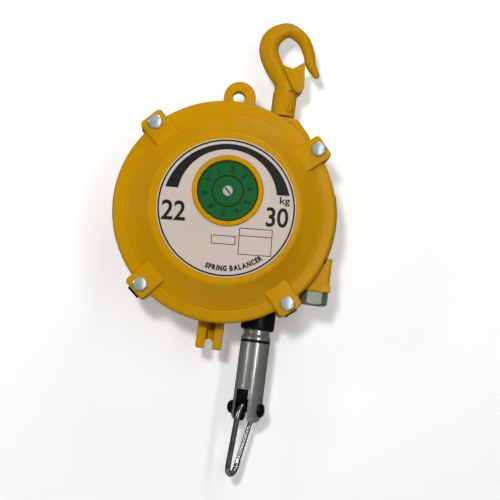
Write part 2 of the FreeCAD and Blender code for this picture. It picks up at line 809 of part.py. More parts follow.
def make_drum():
    """The rope drum on its two bearings, the turns wound on it, and the rope that hangs from it."""
    body = start_body("drum_body")
    half = s.drum_half
    inner = half - s.flange_thickness
    hub_end = half - s.eps
    barrel = groove_radius - s.drum_barrel_wall
    revolve(body, [
        (s.bearing_radius, -hub_end),
        (s.drum_hub, -hub_end),
        (s.drum_hub, -s.drum_web / 2),
        (barrel, -s.drum_web / 2),
        (barrel, -half),
        (s.drum_flange, -half),
        (s.drum_flange, -inner),
        (groove_radius, -inner),
        (groove_radius, inner),
        (s.drum_flange, inner),
        (s.drum_flange, half),
        (barrel, half),
        (barrel, s.drum_web / 2),
        (s.drum_hub, s.drum_web / 2),
        (s.drum_hub, hub_end),
        (s.arbor_radius, hub_end),
        (s.arbor_radius, s.arbor_end),
        (s.shaft_radius + s.gap, s.arbor_end),
        (s.shaft_radius + s.gap, hub_end),
        (s.bearing_radius, hub_end),
    ])
    hole = body.newObject("PartDesign::SubtractiveCylinder", "web_hole")
    bind(hole, Radius=s.drum_hole, Height=s.drum_web * 2)
    place(hole, (s.drum_hole_circle, 0, -s.drum_web))
    repeat_about_axis(body, hole, s.back_rib_count)
    finish(body, "rope_drum", "front")

    for label, back in (("rear_drum_bearing", -hub_end), ("front_drum_bearing", hub_end - s.bearing_width)):
        ring = tube(s.bearing_radius - s.press, s.shaft_radius + s.running, s.bearing_width, (0, 0, back))
        finish(ring, label, "front")

    finish(group(*[rope_turn(number * s.rope_pitch) for number in (-2, -1, 1, 2)]), "rope_turns", "front")
    finish(cylinder(s.rope_radius, -rope_end_drop, (0, 0, 0)), "wire_rope")
    place(parts[-1], (rope_x, 0, shaft_z + rope_end_drop))


def rope_turn(height):
    """One wound turn of rope lying on the drum, with corners where the round wire has its widest points."""
    body = start_body("turn")
    revolve(body, arc(s.rope_reach, height, s.rope_radius, 0, 270))
    return body


# --- Spring case with the worm wheel -------------------------------------------------------------
def make_spring_case():
    """The case round the mainspring, whose rim is the worm wheel that sets the spring's tension."""
    wheel = start_body("wheel_body")
    root = s.wheel_pitch_radius - s.tooth_dedendum
    back = s.wheel_plane - s.wheel_face / 2
    front = s.wheel_plane + s.wheel_face / 2
    case_inner = s.spring_case_radius - s.spring_case_wall
    web_back = s.spring_case_front - s.spring_case_wall
    hub = s.wheel_bush_radius + s.spring_case_wall
    revolve(wheel, [
        (s.wheel_bush_radius, s.arbor_end + s.eps),
        (hub, s.arbor_end + s.eps),
        (hub, web_back),
        (case_inner, web_back),
        (case_inner, back),
        (root, back),
        (root, front),
        (s.spring_case_radius, front),
        (s.spring_case_radius, s.spring_case_front),
        (s.wheel_bush_radius, s.spring_case_front),
    ])
    foot = s.tooth_width / 2 + s.tooth_taper
    crown = s.tooth_width / 2 - s.tooth_taper
    tip = s.wheel_pitch_radius + s.tooth_addendum
    tooth = pad(wheel, [(root - s.eps, -foot), (tip, -crown), (tip, crown), (root - s.eps, foot)],
                s.wheel_face, offset=back, name="wheel_tooth")
    repeat_about_axis(wheel, tooth, s.wheel_teeth)
    finish(wheel, "worm_wheel", "front")

    finish(tube(s.wheel_bush_radius - s.press, s.shaft_radius + s.running,
                s.spring_case_front - s.arbor_end - s.eps, (0, 0, s.arbor_end + s.eps)), "wheel_bush", "front")
    lid = s.spring_case_wall * 0.8
    finish(tube(case_inner - s.press, s.arbor_radius + s.gap, lid, (0, 0, back)), "spring_case_lid", "front")
    drive = gear(s.drive_gear_teeth, drive_gear_radius, s.spring_case_front, s.gear_face, "drive_gear")
    finish(cut(drive, cylinder(s.shaft_radius + s.running, s.gear_face * 3,
                               (0, 0, s.spring_case_front - s.gear_face))), "indicator_gear", "front")

    spring_back = back + lid + s.gap
    shape = mainspring_strip(float(s.arbor_radius + s.gap), float(case_inner - s.gap / 2),
                             float(spring_back), float(web_back - s.gap))
    finish(solid_part(shape, "mainspring"), "mainspring", "front")


def mainspring_strip(inner, outer, back, front):
    """A flat strip wound as an even spiral from the arbor out to the spring case."""
    thickness = SIZES["spring_thickness"]
    turns = SIZES["spring_turns"]
    steps = int(turns * 20)

    def point(share, radius_add):
        angle = share * turns * 2 * math.pi
        radius = inner + share * (outer - thickness - inner) + radius_add
        return Vector(radius * math.cos(angle), radius * math.sin(angle), back)

    inside = [point(step / steps, 0.0) for step in range(steps + 1)]
    outside = [point(step / steps, thickness) for step in range(steps, -1, -1)]
    face = Part.Face(Part.makePolygon(inside + outside + inside[:1]))
    return face.extrude(Vector(0, 0, front - back))


# --- Worm ----------------------------------------------------------------------------------------
def make_worm():
    """The worm that turns the spring case, with a hexagon below for a spanner."""
    body = start_body("worm_body")
    root = s.worm_pitch_radius - s.tooth_dedendum
    head_top = s.worm_box_bottom - s.gap
    revolve(body, [
        (0, head_top - s.worm_head / 2),
        (s.worm_journal, head_top - s.worm_head / 2),
        (s.worm_journal, s.worm_bottom),
        (root, s.worm_bottom),
        (root, s.worm_top - s.gap),
        (s.worm_tip, s.worm_top - s.gap),
        (s.worm_tip, s.worm_top + s.worm_tip_length),
        (0, s.worm_top + s.worm_tip_length),
    ])
    axial_pitch = s.wheel_pitch_radius * (2 * math.pi) / s.wheel_teeth
    turns = 4
    low = axial_pitch * (-turns / 2)
    foot = s.tooth_width / 2 + s.tooth_taper
    crown = s.tooth_width / 2 - s.tooth_taper
    tip = s.worm_pitch_radius + s.tooth_addendum
    sketch = outline(body, "XZ", [(root - s.gap, low - foot), (tip, low - crown), (tip, low + crown),
                                  (root - s.gap, low + foot)], "thread_outline")
    thread = body.newObject("PartDesign::AdditiveHelix", "thread")
    thread.Profile = sketch
    thread.ReferenceAxis = (sketch, ["V_Axis"])
    thread.Mode = 0
    bind(thread, Pitch=axial_pitch, Height=axial_pitch * turns)
    body.Tip = thread
    head = hexagon(s.worm_flats, s.worm_head, (0, 0, head_top - s.worm_head))
    whole = fuse(head, body)
    finish(whole, "worm", at=(shaft_x + worm_x, -s.wheel_plane, shaft_z))
    finish(tube(worm_bore - s.press, s.worm_journal + s.running, s.worm_bottom - s.worm_box_bottom - s.gap,
                (0, 0, s.worm_box_bottom)), "worm_bush")
    place(parts[-1], (shaft_x + worm_x, -s.wheel_plane, shaft_z))


# --- Top hook ------------------------------------------------------------------------------------
# Stations along the forged hook: centre x and z, half thickness in the hook's plane and across it
HOOK_STATIONS = (
    (0.0, -61.0, 12.4, 12.4),
    (-4.0, -49.0, 10.4, 9.6),
    (-16.5, -33.0, 10.6, 9.5),
    (-24.0, -16.0, 10.7, 9.5),
    (-20.3, -1.0, 10.4, 9.3),
    (-5.5, 7.4, 7.6, 8.6),
    (10.4, 0.0, 7.5, 8.0),
    (19.2, -14.0, 7.2, 6.8),
    (22.6, -27.0, 5.4, 5.4),
    (29.0, -39.0, 2.6, 2.8),
)
HOOK_STEPS = 18
HOOK_SIDES = 12
LATCH_PIVOT = (12.6, -56.0)
LATCH_CHEEK = ((-4.5, -33.4), (6.0, -35.4), (16.4, -29.7), (19.2, -54.2), (17.2, -60.6), (12.6, -61.0))


def hook_blade():
    """The hook's bow: many-sided oval sections square to a smooth curve through the stations."""
    order = [float(number) for number in range(len(HOOK_STATIONS))]
    centre_line = Part.BSplineCurve()
    centre_line.interpolate(Points=[Vector(x, 0, z) for x, z, _, _ in HOOK_STATIONS], Parameters=order)
    thickness = Part.BSplineCurve()
    thickness.interpolate(Points=[Vector(*pair, number) for number, (_, _, *pair) in enumerate(HOOK_STATIONS)],
                          Parameters=order)
    wires = []
    for step in range(HOOK_STEPS + 1):
        station = order[-1] * step / HOOK_STEPS
        centre = centre_line.value(station)
        ahead = centre_line.tangent(station)[0]
        side = Vector(-ahead.z, 0, ahead.x)
        half = thickness.value(station)
        corners = []
        for number in range(HOOK_SIDES):
            angle = 2 * math.pi * (number + 0.5) / HOOK_SIDES
            corners.append(centre + side * (half.x * math.cos(angle)) + Vector(0, half.y * math.sin(angle), 0))
        wires.append(Part.makePolygon(corners + corners[:1]))
    return Part.makeLoft(wires, True, True)


def make_top_hook():
    """The forged hook with its barrel, turning on a riveted stud in the housing's shoulder."""
    forged = solid_part(hook_blade(), "hook_blade")
    barrel = cylinder(s.barrel_radius, s.barrel_top - s.barrel_bottom, (0, 0, s.barrel_bottom))
    pivot_x, pivot_z = LATCH_PIVOT
    ear = fuse(cylinder(s.latch_lug_radius, s.latch_lug_half * 2, (pivot_x, -s.latch_lug_half, pivot_z), "y"),
               box(pivot_x, s.latch_lug_half * 2, s.latch_lug_radius * 2,
                   (0, -s.latch_lug_half, pivot_z - s.latch_lug_radius)))
    stud_bore = cylinder(s.stud_radius + s.press, stud_top - s.barrel_bottom + s.eps,
                         (0, 0, s.barrel_bottom - s.eps))
    pin_hole = cylinder(s.latch_pin_radius + s.running, s.latch_gap * 2, (pivot_x, -s.latch_gap, pivot_z), "y")
    finish(cut(fuse(forged, barrel, ear), stud_bore, rivet_hole(), pin_hole), "top_hook")

    boss_floor = shaft_z + s.boss_floor
    head_top = boss_floor - s.washer_thickness
    stud = fuse(cylinder(s.stud_radius, stud_top - head_top, (0, 0, head_top)),
                cylinder(s.stud_head_radius, s.stud_head_height, (0, 0, head_top - s.stud_head_height)))
    finish(cut(stud, rivet_hole()), "hook_stud")
    boss_top = shaft_z + s.boss_top
    finish(tube(s.stud_radius + s.bush_wall, s.stud_radius + s.running, boss_top - boss_floor, (0, 0, boss_floor)),
           "hook_bush")
    finish(tube(s.stud_head_radius, s.stud_radius + s.running, s.barrel_bottom - boss_top, (0, 0, boss_top)),
           "hook_top_washer")
    finish(tube(s.stud_head_radius, s.stud_radius + s.running, s.washer_thickness, (0, 0, head_top)),
           "hook_thrust_washer")

    half = s.barrel_radius + s.press
    heads = [cone(s.rivet_head, s.rivet_head * 0.6, s.rivet_rise, (0, 0, half)),
             cone(s.rivet_head * 0.6, s.rivet_head, s.rivet_rise, (0, 0, -half - s.rivet_rise))]
    rivet = fuse(cylinder(s.rivet_radius, half * 2, (0, 0, -half)), *heads)
    finish(rivet, "hook_rivet", at=(0, 0, s.rivet_height), turn=RIVET_TURN)


stud_top = s.barrel_bottom + 22
RIVET_TURN = Rotation(Vector(0, 0, 1), SIZES["rivet_angle"]) * FRONT


def rivet_hole():
    """The cutter for the rivet that ties the stud to the hook."""
    reach = s.barrel_radius * 2
    hole = cylinder(s.rivet_radius + s.press, reach * 2, (0, 0, -reach))
    return place(fuse(hole, cylinder(s.rivet_radius, s.eps, (0, 0, 0))), (0, 0, s.rivet_height), RIVET_TURN)


def make_latch():
    """The bent sheet that closes the hook's mouth, with its pin and its two coils."""
    body = start_body("latch_body")
    sheet = s.latch_sheet
    width = (s.latch_gap + sheet) * 2
    pad(body, LATCH_CHEEK, width, plane="XZ", midplane=True, name="cheeks")
    top_x, top_z = LATCH_CHEEK[2]
    low_x, low_z = LATCH_CHEEK[3]
    reach = 40.0
    inside = outline(body, "XZ", [(-reach, top_z + reach), (top_x - sheet, top_z + reach), (top_x - sheet, top_z),
                                  (low_x - sheet, low_z), (low_x - sheet, low_z - reach),
                                  (-reach, low_z - reach)], "inside")
    hollow = body.newObject("PartDesign::Pocket", "hollow")
    hollow.Profile = inside
    hollow.Midplane = True
    bind(hollow, Length=s.latch_gap * 2)
    pivot_x, pivot_z = LATCH_PIVOT
    hole = body.newObject("PartDesign::SubtractiveCylinder", "pivot_hole")
    bind(hole, Radius=s.latch_pin_radius + s.running, Height=width * 2)
    place(hole, (pivot_x, -width, pivot_z), ALONG["y"])
    finish(body, "hook_latch")

    half = s.latch_gap + sheet + s.gap
    pin = fuse(cylinder(s.latch_pin_radius, half * 2, (pivot_x, -half, pivot_z), "y"),
               cylinder(s.latch_pin_radius * 1.6, s.eps, (pivot_x, half, pivot_z), "y"),
               cylinder(s.latch_pin_radius * 1.6, s.eps, (pivot_x, -half - s.eps, pivot_z), "y"))
    finish(pin, "latch_pin")

    coil = s.latch_gap - s.latch_lug_half - s.gap
    coils = [tube(s.latch_pin_radius * 1.7, s.latch_pin_radius + s.gap / 2, coil,
                  (pivot_x, start, pivot_z), "y") for start in (s.latch_lug_half + s.gap / 2,
                                                               -s.latch_gap + s.gap / 2)]
    finish(group(*coils), "latch_spring")


# --- Rope end: buffer, socket and swivel ---------------------------------------------------------
buffer_foot = s.buffer_top - s.buffer_height
neck_foot = buffer_foot - s.neck_height
collar_foot = neck_foot - s.collar_height
swivel_top = collar_foot - s.collar_gap
swivel_foot = swivel_top - s.swivel_height
stem_seat = swivel_top - s.swivel_cap - s.stem_bearing
stem_foot = stem_seat - s.stem_head_height
ferrule_radius = s.rope_radius * 2
rope_end_drop = stem_foot + s.eps


def make_rope_end():
    """What hangs on the rope: rubber buffer, socket, and the clevis that swivels on the socket's stem."""
    at = (rope_x, 0, shaft_z)
    buffer = start_body("buffer_body")
    rim = s.buffer_round
    revolve(buffer, [
        (s.rope_radius + s.press, s.buffer_top),
        (s.buffer_radius - s.eps, s.buffer_top),
        (s.buffer_radius, s.buffer_top - s.eps),
        *arc(s.buffer_radius - rim, buffer_foot + rim, rim, 0, -90),
        (s.rope_radius + s.press, buffer_foot),
    ])
    finish(buffer, "rubber_buffer", at=at)

    socket = start_body("socket_body")
    bore = s.rope_radius + s.press
    revolve(socket, [
        (bore, buffer_foot),
        (s.neck_radius, buffer_foot),
        (s.neck_radius, neck_foot),
        (s.swivel_radius - s.eps, neck_foot),
        (s.swivel_radius, neck_foot - s.eps),
        (s.swivel_radius, collar_foot),
        (s.stem_radius, collar_foot),
        (s.stem_radius, stem_seat),
        (s.stem_head_radius, stem_seat),
        (s.stem_head_radius, stem_foot),
        (ferrule_radius + s.press, stem_foot),
        (ferrule_radius + s.press, collar_foot),
        (bore, collar_foot),
    ])
    finish(socket, "rope_socket", at=at)
    finish(tube(ferrule_radius, bore, collar_foot - stem_foot - s.eps * 2, (0, 0, stem_foot + s.eps)),
           "rope_ferrule", at=at)
    finish(tube(s.swivel_radius - s.eps, s.stem_radius + s.running, s.collar_gap - s.gap, (0, 0, swivel_top)),
           "swivel_seal", at=at)

    guide = start_body("guide_body")
    revolve(guide, [
        (s.rope_radius + s.gap * 2, s.buffer_top + s.gap),
        (guide_radius, s.buffer_top + s.gap),
        (guide_radius, guide_top),
        (guide_radius + s.eps * 2, guide_top),
        (guide_radius + s.eps * 2, guide_top + s.eps * 2),
        (s.rope_radius + s.gap * 2, guide_top + s.eps * 2),
    ])
    finish(guide, "rope_guide", at=at)

    clevis = start_body("clevis_body")
    room = s.stem_head_radius + s.eps
    revolve(clevis, [
        (s.stem_radius + s.running * 2, swivel_top),
        (s.swivel_radius, swivel_top),
        (s.swivel_radius, swivel_foot + s.swivel_chamfer),
        (s.swivel_radius - s.swivel_chamfer, swivel_foot),
        (0, swivel_foot),
        (0, stem_foot - s.eps),
        (room, stem_foot - s.eps),
        (room, swivel_top - s.swivel_cap),
        (s.stem_radius + s.running * 2, swivel_top - s.swivel_cap),
    ])
    body_box(clevis, s.swivel_slot, s.swivel_radius * 3, s.swivel_slot_height + s.eps,
             (-s.swivel_slot / 2, -s.swivel_radius * 1.5, swivel_foot - s.eps))
    pin_hole = clevis.newObject("PartDesign::SubtractiveCylinder", "pin_hole")
    bind(pin_hole, Radius=s.pin_radius + s.press, Height=s.swivel_radius * 4)
    place(pin_hole, (-s.swivel_radius * 2, 0, swivel_foot + s.pin_rise), ALONG["x"])
    turn = Rotation(Vector(0, 0, 1), -SIZES["swivel_turn"])
    finish(clevis, "swivel_clevis", at=at, turn=turn)
    finish(tube(room - s.gap, s.stem_radius + s.running, s.stem_bearing - s.running,
                (0, 0, stem_seat + s.running)), "swivel_bearing", at=at)

    half = s.swivel_radius + s.gap / 5
    pin = fuse(cylinder(s.pin_radius, half * 2, (0, 0, -half)),
               *[domed_head(half, side) for side in (1, -1)])
    finish(pin, "clevis_pin", at=(rope_x, 0, pin_z), turn=turn * ALONG["x"])


def domed_head(seat, side):
    """A low dome in two steps on the end of the clevis pin."""
    flat = s.pin_head_height * 0.45
    dome = s.pin_head_height - flat
    if side > 0:
        return fuse(cylinder(s.pin_head_radius, flat, (0, 0, seat)),
                    cone(s.pin_head_radius, s.pin_head_radius * 0.55, dome, (0, 0, seat + flat)))
    return fuse(cylinder(s.pin_head_radius, flat, (0, 0, -seat - flat)),
                cone(s.pin_head_radius * 0.55, s.pin_head_radius, dome, (0, 0, -seat - flat - dome)))


def body_box(body, x_size, y_size, z_size, at):
    """Cuts a block out of a body."""
    block = body.newObject("PartDesign::SubtractiveBox", "slot")
    bind(block, Length=x_size, Width=y_size, Height=z_size)
    return place(block, at)


# --- Snap hook -----------------------------------------------------------------------------------
ROD_SIDES = 10


def make_snap_hook():
    """A pear-shaped snap hook hung on the clevis pin; x is across it, z up, and the gate is on +x."""
    top_bend = SIZES["snap_top_bend"]
    low_bend = SIZES["snap_bottom_bend"]
    span = SIZES["snap_span"]
    rod = SIZES["snap_rod"]
    top_z = SIZES["pin_radius"] + SIZES["gap"] + rod - top_bend
    low_z = top_z - span
    lean = math.asin((top_bend - low_bend) / span)

    def on_bend(centre_z, radius, angle):
        return Vector(radius * math.cos(angle), 0, centre_z + radius * math.sin(angle))

    nose = on_bend(top_z, top_bend, -lean)
    crown = on_bend(top_z, top_bend, math.pi / 2)
    spine_top = on_bend(top_z, top_bend, math.pi + lean)
    spine_low = on_bend(low_z, low_bend, math.pi + lean)
    toe = on_bend(low_z, low_bend, -math.pi / 2)
    heel = on_bend(low_z, low_bend, -lean)
    along_gate = (nose - heel).normalize()
    nose_end = nose - along_gate * rod
    hinge = heel + along_gate * rod * 1.5
    path = Part.Wire([
        Part.LineSegment(nose_end, nose).toShape(),
        Part.Arc(nose, crown, spine_top).toShape(),
        Part.LineSegment(spine_top, spine_low).toShape(),
        Part.Arc(spine_low, toe, heel).toShape(),
        Part.LineSegment(heel, hinge + along_gate * rod).toShape(),
    ])
    section = Part.makePolygon([nose_end + rod * math.cos(angle) * Vector(along_gate.z, 0, -along_gate.x)
                                + rod * math.sin(angle) * Vector(0, 1, 0)
                                for angle in [2 * math.pi * (side + 0.5) / ROD_SIDES for side in range(ROD_SIDES)]
                                + [math.pi / ROD_SIDES]])
    frame = path.makePipeShell([section], True, False)

    across = Vector(0, 1, 0)
    tongue = SIZES["gate_tongue"]
    gap = SIZES["gap"]
    gate_rod = SIZES["gate_rod"]
    pin_radius = SIZES["gate_pin_radius"]
    slot = Part.makeBox(rod * 4, tongue + gap, rod * 3.2, Vector(-rod * 2, -tongue / 2 - gap / 2, -rod * 1.2))
    slot.Placement = Placement(hinge, Rotation(Vector(0, 0, 1), along_gate))
    pin_hole = Part.makeCylinder(pin_radius + 0.01, rod * 4, hinge - across * rod * 2, across)
    frame = frame.cut(slot).cut(pin_hole)

    length = (nose_end - hinge).Length - gap
    gate_foot = hinge + along_gate * rod * 1.4
    gate = Part.makeCylinder(gate_rod, length - rod * 1.4, gate_foot, along_gate)
    blade = Part.makeBox(gate_rod * 1.6, tongue, rod * 2.4, Vector(-gate_rod * 0.8, -tongue / 2, 0))
    blade.Placement = Placement(hinge, Rotation(Vector(0, 0, 1), along_gate))
    eye = Part.makeCylinder(gate_rod * 0.8, tongue, hinge - across * tongue / 2, across)
    gate = gate.fuse([blade, eye]).cut(Part.makeCylinder(pin_radius + 0.05, rod * 4, hinge - across * rod * 2,
                                                         across))
    pin = Part.makeCylinder(pin_radius, rod * 2.2, hinge - across * rod * 1.1, across)

    lean_turn = Rotation(Vector(0, 1, 0), SIZES["snap_lean"])
    turn = lean_turn * Rotation(Vector(0, 0, 1), 90 - SIZES["swivel_turn"])
    for label, shape in (("snap_hook", frame), ("snap_gate", gate.removeSplitter()), ("gate_pin", pin)):
        finish(solid_part(shape, label), label, at=(rope_x, 0, pin_z), turn=turn)


for make in (make_front_cover, make_rear_case, make_fastenings, make_dial, make_shaft, make_drum,
             make_spring_case, make_worm, make_top_hook, make_latch, make_rope_end, make_snap_hook):
    make()
doc.recompute()

# --- Check and write -----------------------------------------------------------------------------
for obj in doc.Objects:
    if "Invalid" in obj.State or "Error" in obj.State:
        raise RuntimeError(f"{obj.Name} ({obj.Label}) failed: {obj.State}")
os.makedirs("parts", exist_ok=True)
for obj in parts:
    if obj.Shape.isNull() or not obj.Shape.isValid() or not obj.Shape.Solids:
        raise RuntimeError(f"{obj.Label} has no valid solid")
    obj.Shape.exportStep(f"parts/{obj.Label}.step")
print(len(parts), "sub-parts written")
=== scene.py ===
"""Looks of a spring balancer: enamelled castings, plated fittings, a printed plate and a green dial."""

import logging
import math
from collections.abc import Callable, Sequence
from dataclasses import dataclass, field
from enum import Enum

import bmesh
import bpy
from mathutils import Matrix, Vector


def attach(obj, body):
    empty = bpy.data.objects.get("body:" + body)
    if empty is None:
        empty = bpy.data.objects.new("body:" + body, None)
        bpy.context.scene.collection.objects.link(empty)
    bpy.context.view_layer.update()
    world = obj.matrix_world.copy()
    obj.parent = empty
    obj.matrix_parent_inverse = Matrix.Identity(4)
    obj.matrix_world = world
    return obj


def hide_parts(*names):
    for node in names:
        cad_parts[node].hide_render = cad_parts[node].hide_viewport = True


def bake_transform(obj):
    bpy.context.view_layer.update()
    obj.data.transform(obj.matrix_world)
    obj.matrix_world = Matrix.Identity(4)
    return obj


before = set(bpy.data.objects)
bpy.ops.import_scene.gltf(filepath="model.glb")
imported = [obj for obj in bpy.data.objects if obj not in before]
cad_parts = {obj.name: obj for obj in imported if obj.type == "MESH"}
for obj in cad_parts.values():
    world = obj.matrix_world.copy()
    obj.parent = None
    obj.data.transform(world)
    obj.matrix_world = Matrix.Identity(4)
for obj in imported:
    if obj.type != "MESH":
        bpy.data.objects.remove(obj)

log = logging.getLogger("spring_balancer")

MM = 0.001
SMOOTH_LIMIT = 32.0
# From this angle between its faces an edge counts as sharp, in degrees
SHARP_ANGLE = 30.0
# The main shaft, the rope beside it and the dial above it
SHAFT_X = -50.0
SHAFT_Z = -206.0
HOUSING = Matrix.Translation((SHAFT_X, 0.0, SHAFT_Z)) @ Matrix.Rotation(math.radians(90), 4, "X")
ROPE_X = 2.5
DIAL_RISE = 18.0
# How far ink stands off what it is printed on
PRINT_HEIGHT = 0.1
LUG_ANGLES = (49.3, -46.0, 139.0, -139.0)
BOLT_CIRCLE = 116.5

Colour = tuple[float, float, float]
Point = tuple[float, float]
Place = tuple[float, float, float]


class Level(Enum):
    """How finely round shapes are cut."""

    FINE = 192
    ROUND = 96
    SMALL = 48
    TINY = 24


class Axis(Enum):
    """The direction in which a round bar or bore runs."""

    X = "x"
    Y = "y"
    Z = "z"

    @property
    def turn(self) -> Matrix:
        """The rotation that lays the Z axis along this direction."""
        turns = {
            Axis.X: Matrix.Rotation(math.radians(90), 4, "Y"),
            Axis.Y: Matrix.Rotation(math.radians(-90), 4, "X"),
            Axis.Z: Matrix.Identity(4),
        }
        return turns[self]


# --- Colours and node trees ------------------------------------------------------------------------
def linear(red: int, green: int, blue: int) -> Colour:
    """Turns a colour as written on a paint chart into scene-linear light.

    Args:
        red: Red from 0 to 255.
        green: Green from 0 to 255.
        blue: Blue from 0 to 255.

    Returns:
        The three linear channels.
    """
    channels = [value / 255 for value in (red, green, blue)]
    return tuple(value / 12.92 if value <= 0.04045 else ((value + 0.055) / 1.055) ** 2.4
                 for value in channels)


def shade(colour: Colour, factor: float) -> Colour:
    """The same colour made darker or lighter by a factor."""
    return tuple(min(1.0, channel * factor) for channel in colour)


class Wiring:
    """Short calls for building a node tree."""

    def __init__(self, tree: bpy.types.NodeTree) -> None:
        """Starts with an empty tree."""
        self.tree = tree
        tree.nodes.clear()

    def node(self, kind: str, settings: dict | None = None, **sockets: object) -> bpy.types.Node:
        """Adds a node.

        Args:
            kind: The node's type name without its prefix.
            settings: Properties of the node itself.
            **sockets: Input values or output sockets to link, with underscores for spaces.

        Returns:
            The new node.
        """
        made = self.tree.nodes.new("ShaderNode" + kind)
        for name, value in (settings or {}).items():
            setattr(made, name, value)
        for name, value in sockets.items():
            self.feed(made.inputs[name.replace("_", " ")], value)
        return made

    def feed(self, socket: bpy.types.NodeSocket, value: object) -> None:
        """Links an output socket to an input, or sets the input's own value."""
        if isinstance(value, bpy.types.NodeSocket):
            self.tree.links.new(value, socket)
        elif socket.type == "RGBA":
            socket.default_value = (*value, 1.0)
        else:
            socket.default_value = value

    def ramp(self, value: bpy.types.NodeSocket, low: float, high: float, start: float, end: float) \
            -> bpy.types.NodeSocket:
        """Maps a value's range from low..high to start..end, clamped.

        Args:
            value: The socket to map.
            low: The value that gives start.
            high: The value that gives end.
            start: The lowest result.
            end: The highest result.

        Returns:
            The mapped value's socket.
        """
        made = self.node("MapRange", {"clamp": True}, Value=value)
        for name, number in (("From Min", low), ("From Max", high), ("To Min", start), ("To Max", end)):
            made.inputs[name].default_value = number
        return made.outputs["Result"]

    def noise(self, where: object, scale: float, detail: float = 2.0, rough: float = 0.5) \
            -> bpy.types.NodeSocket:
        """Adds a noise pattern.

        Args:
            where: The coordinates' socket.
            scale: Features per metre.
            detail: Octaves.
            rough: How strong the fine octaves are.

        Returns:
            The pattern's value socket, about 0.5 on average.
        """
        made = self.node("TexNoise", None, Scale=scale, Detail=detail, Roughness=rough)
        self.feed(made.inputs["Vector"], where)
        return made.outputs["Fac"]


class Effects:
    """The shader groups that several finishes share, each built once."""

    def __init__(self) -> None:
        """Builds every group."""
        self.mottle = self.make_mottle()
        self.relief = self.make_relief()
        self.streaks = self.make_streaks()

    @staticmethod
    def start(name: str, inputs: dict[str, tuple[str, object]], outputs: dict[str, str]) \
            -> tuple[bpy.types.NodeTree, Wiring, bpy.types.Node, bpy.types.Node]:
        """Starts a group with named sockets.

        Args:
            name: The group's name.
            inputs: Socket type and default value by input name.
            outputs: Socket type by output name.

        Returns:
            The tree, its wiring, its input node and its output node.
        """
        tree = bpy.data.node_groups.new(name, "ShaderNodeTree")
        for label, (kind, value) in inputs.items():
            socket = tree.interface.new_socket(name=label, in_out="INPUT", socket_type="NodeSocket" + kind)
            socket.default_value = value
        for label, kind in outputs.items():
            tree.interface.new_socket(name=label, in_out="OUTPUT", socket_type="NodeSocket" + kind)
        wiring = Wiring(tree)
        source = tree.nodes.new("NodeGroupInput")
        sink = tree.nodes.new("NodeGroupOutput")
        return tree, wiring, source, sink

    def make_mottle(self) -> bpy.types.NodeTree:
        """Colour that drifts between two tones, with a mask of the drift."""
        tree, wiring, source, sink = self.start(
            "mottle", {"Tone": ("Color", (1, 1, 1, 1)), "Deep Tone": ("Color", (0, 0, 0, 1)),
                       "Scale": ("Float", 20.0), "Amount": ("Float", 0.5)},
            {"Color": "Color", "Mask": "Float"})
        where = wiring.node("TexCoord").outputs["Object"]
        cloud = wiring.noise(where, source.outputs["Scale"], 4.0, 0.6)
        mask = wiring.ramp(cloud, 0.35, 0.68, 0.0, 1.0)
        share = wiring.node("Math", {"operation": "MULTIPLY"}).outputs[0]
        wiring.feed(share.node.inputs[0], mask)
        wiring.feed(share.node.inputs[1], source.outputs["Amount"])
        blend = wiring.node("Mix", {"data_type": "RGBA"})
        wiring.feed(blend.inputs["Factor"], share)
        wiring.feed(blend.inputs[6], source.outputs["Tone"])
        wiring.feed(blend.inputs[7], source.outputs["Deep Tone"])
        wiring.feed(sink.inputs["Color"], blend.outputs[2])
        wiring.feed(sink.inputs["Mask"], mask)
        return tree

    def make_relief(self) -> bpy.types.NodeTree:
        """The height of a cast or sprayed skin: broad waves with finer pits on them."""
        tree, wiring, source, sink = self.start(
            "skin_relief", {"Wave Scale": ("Float", 120.0), "Pit Scale": ("Float", 700.0),
                            "Pit Share": ("Float", 0.3)}, {"Height": "Float"})
        where = wiring.node("TexCoord").outputs["Object"]
        waves = wiring.noise(where, source.outputs["Wave Scale"], 2.0)
        pits = wiring.noise(where, source.outputs["Pit Scale"], 3.0, 0.65)
        blend = wiring.node("Mix", {"data_type": "FLOAT"})
        wiring.feed(blend.inputs["Factor"], source.outputs["Pit Share"])
        wiring.feed(blend.inputs[2], waves)
        wiring.feed(blend.inputs[3], pits)
        wiring.feed(sink.inputs["Height"], blend.outputs[0])
        return tree

    def make_streaks(self) -> bpy.types.NodeTree:
        """Fine lines drawn out along the direction in which the Stretch is small."""
        tree, wiring, source, sink = self.start(
            "drawn_streaks", {"Stretch": ("Vector", (900.0, 900.0, 12.0))},
            {"Height": "Float", "Mask": "Float"})
        where = wiring.node("TexCoord").outputs["Object"]
        drawn = wiring.node("VectorMath", {"operation": "MULTIPLY"})
        wiring.feed(drawn.inputs[0], where)
        wiring.feed(drawn.inputs[1], source.outputs["Stretch"])
        lines = wiring.noise(drawn.outputs[0], 1.0, 3.0, 0.6)
        wiring.feed(sink.inputs["Height"], lines)
        wiring.feed(sink.inputs["Mask"], wiring.ramp(lines, 0.3, 0.7, 0.0, 1.0))
        return tree


EFFECTS = Effects()


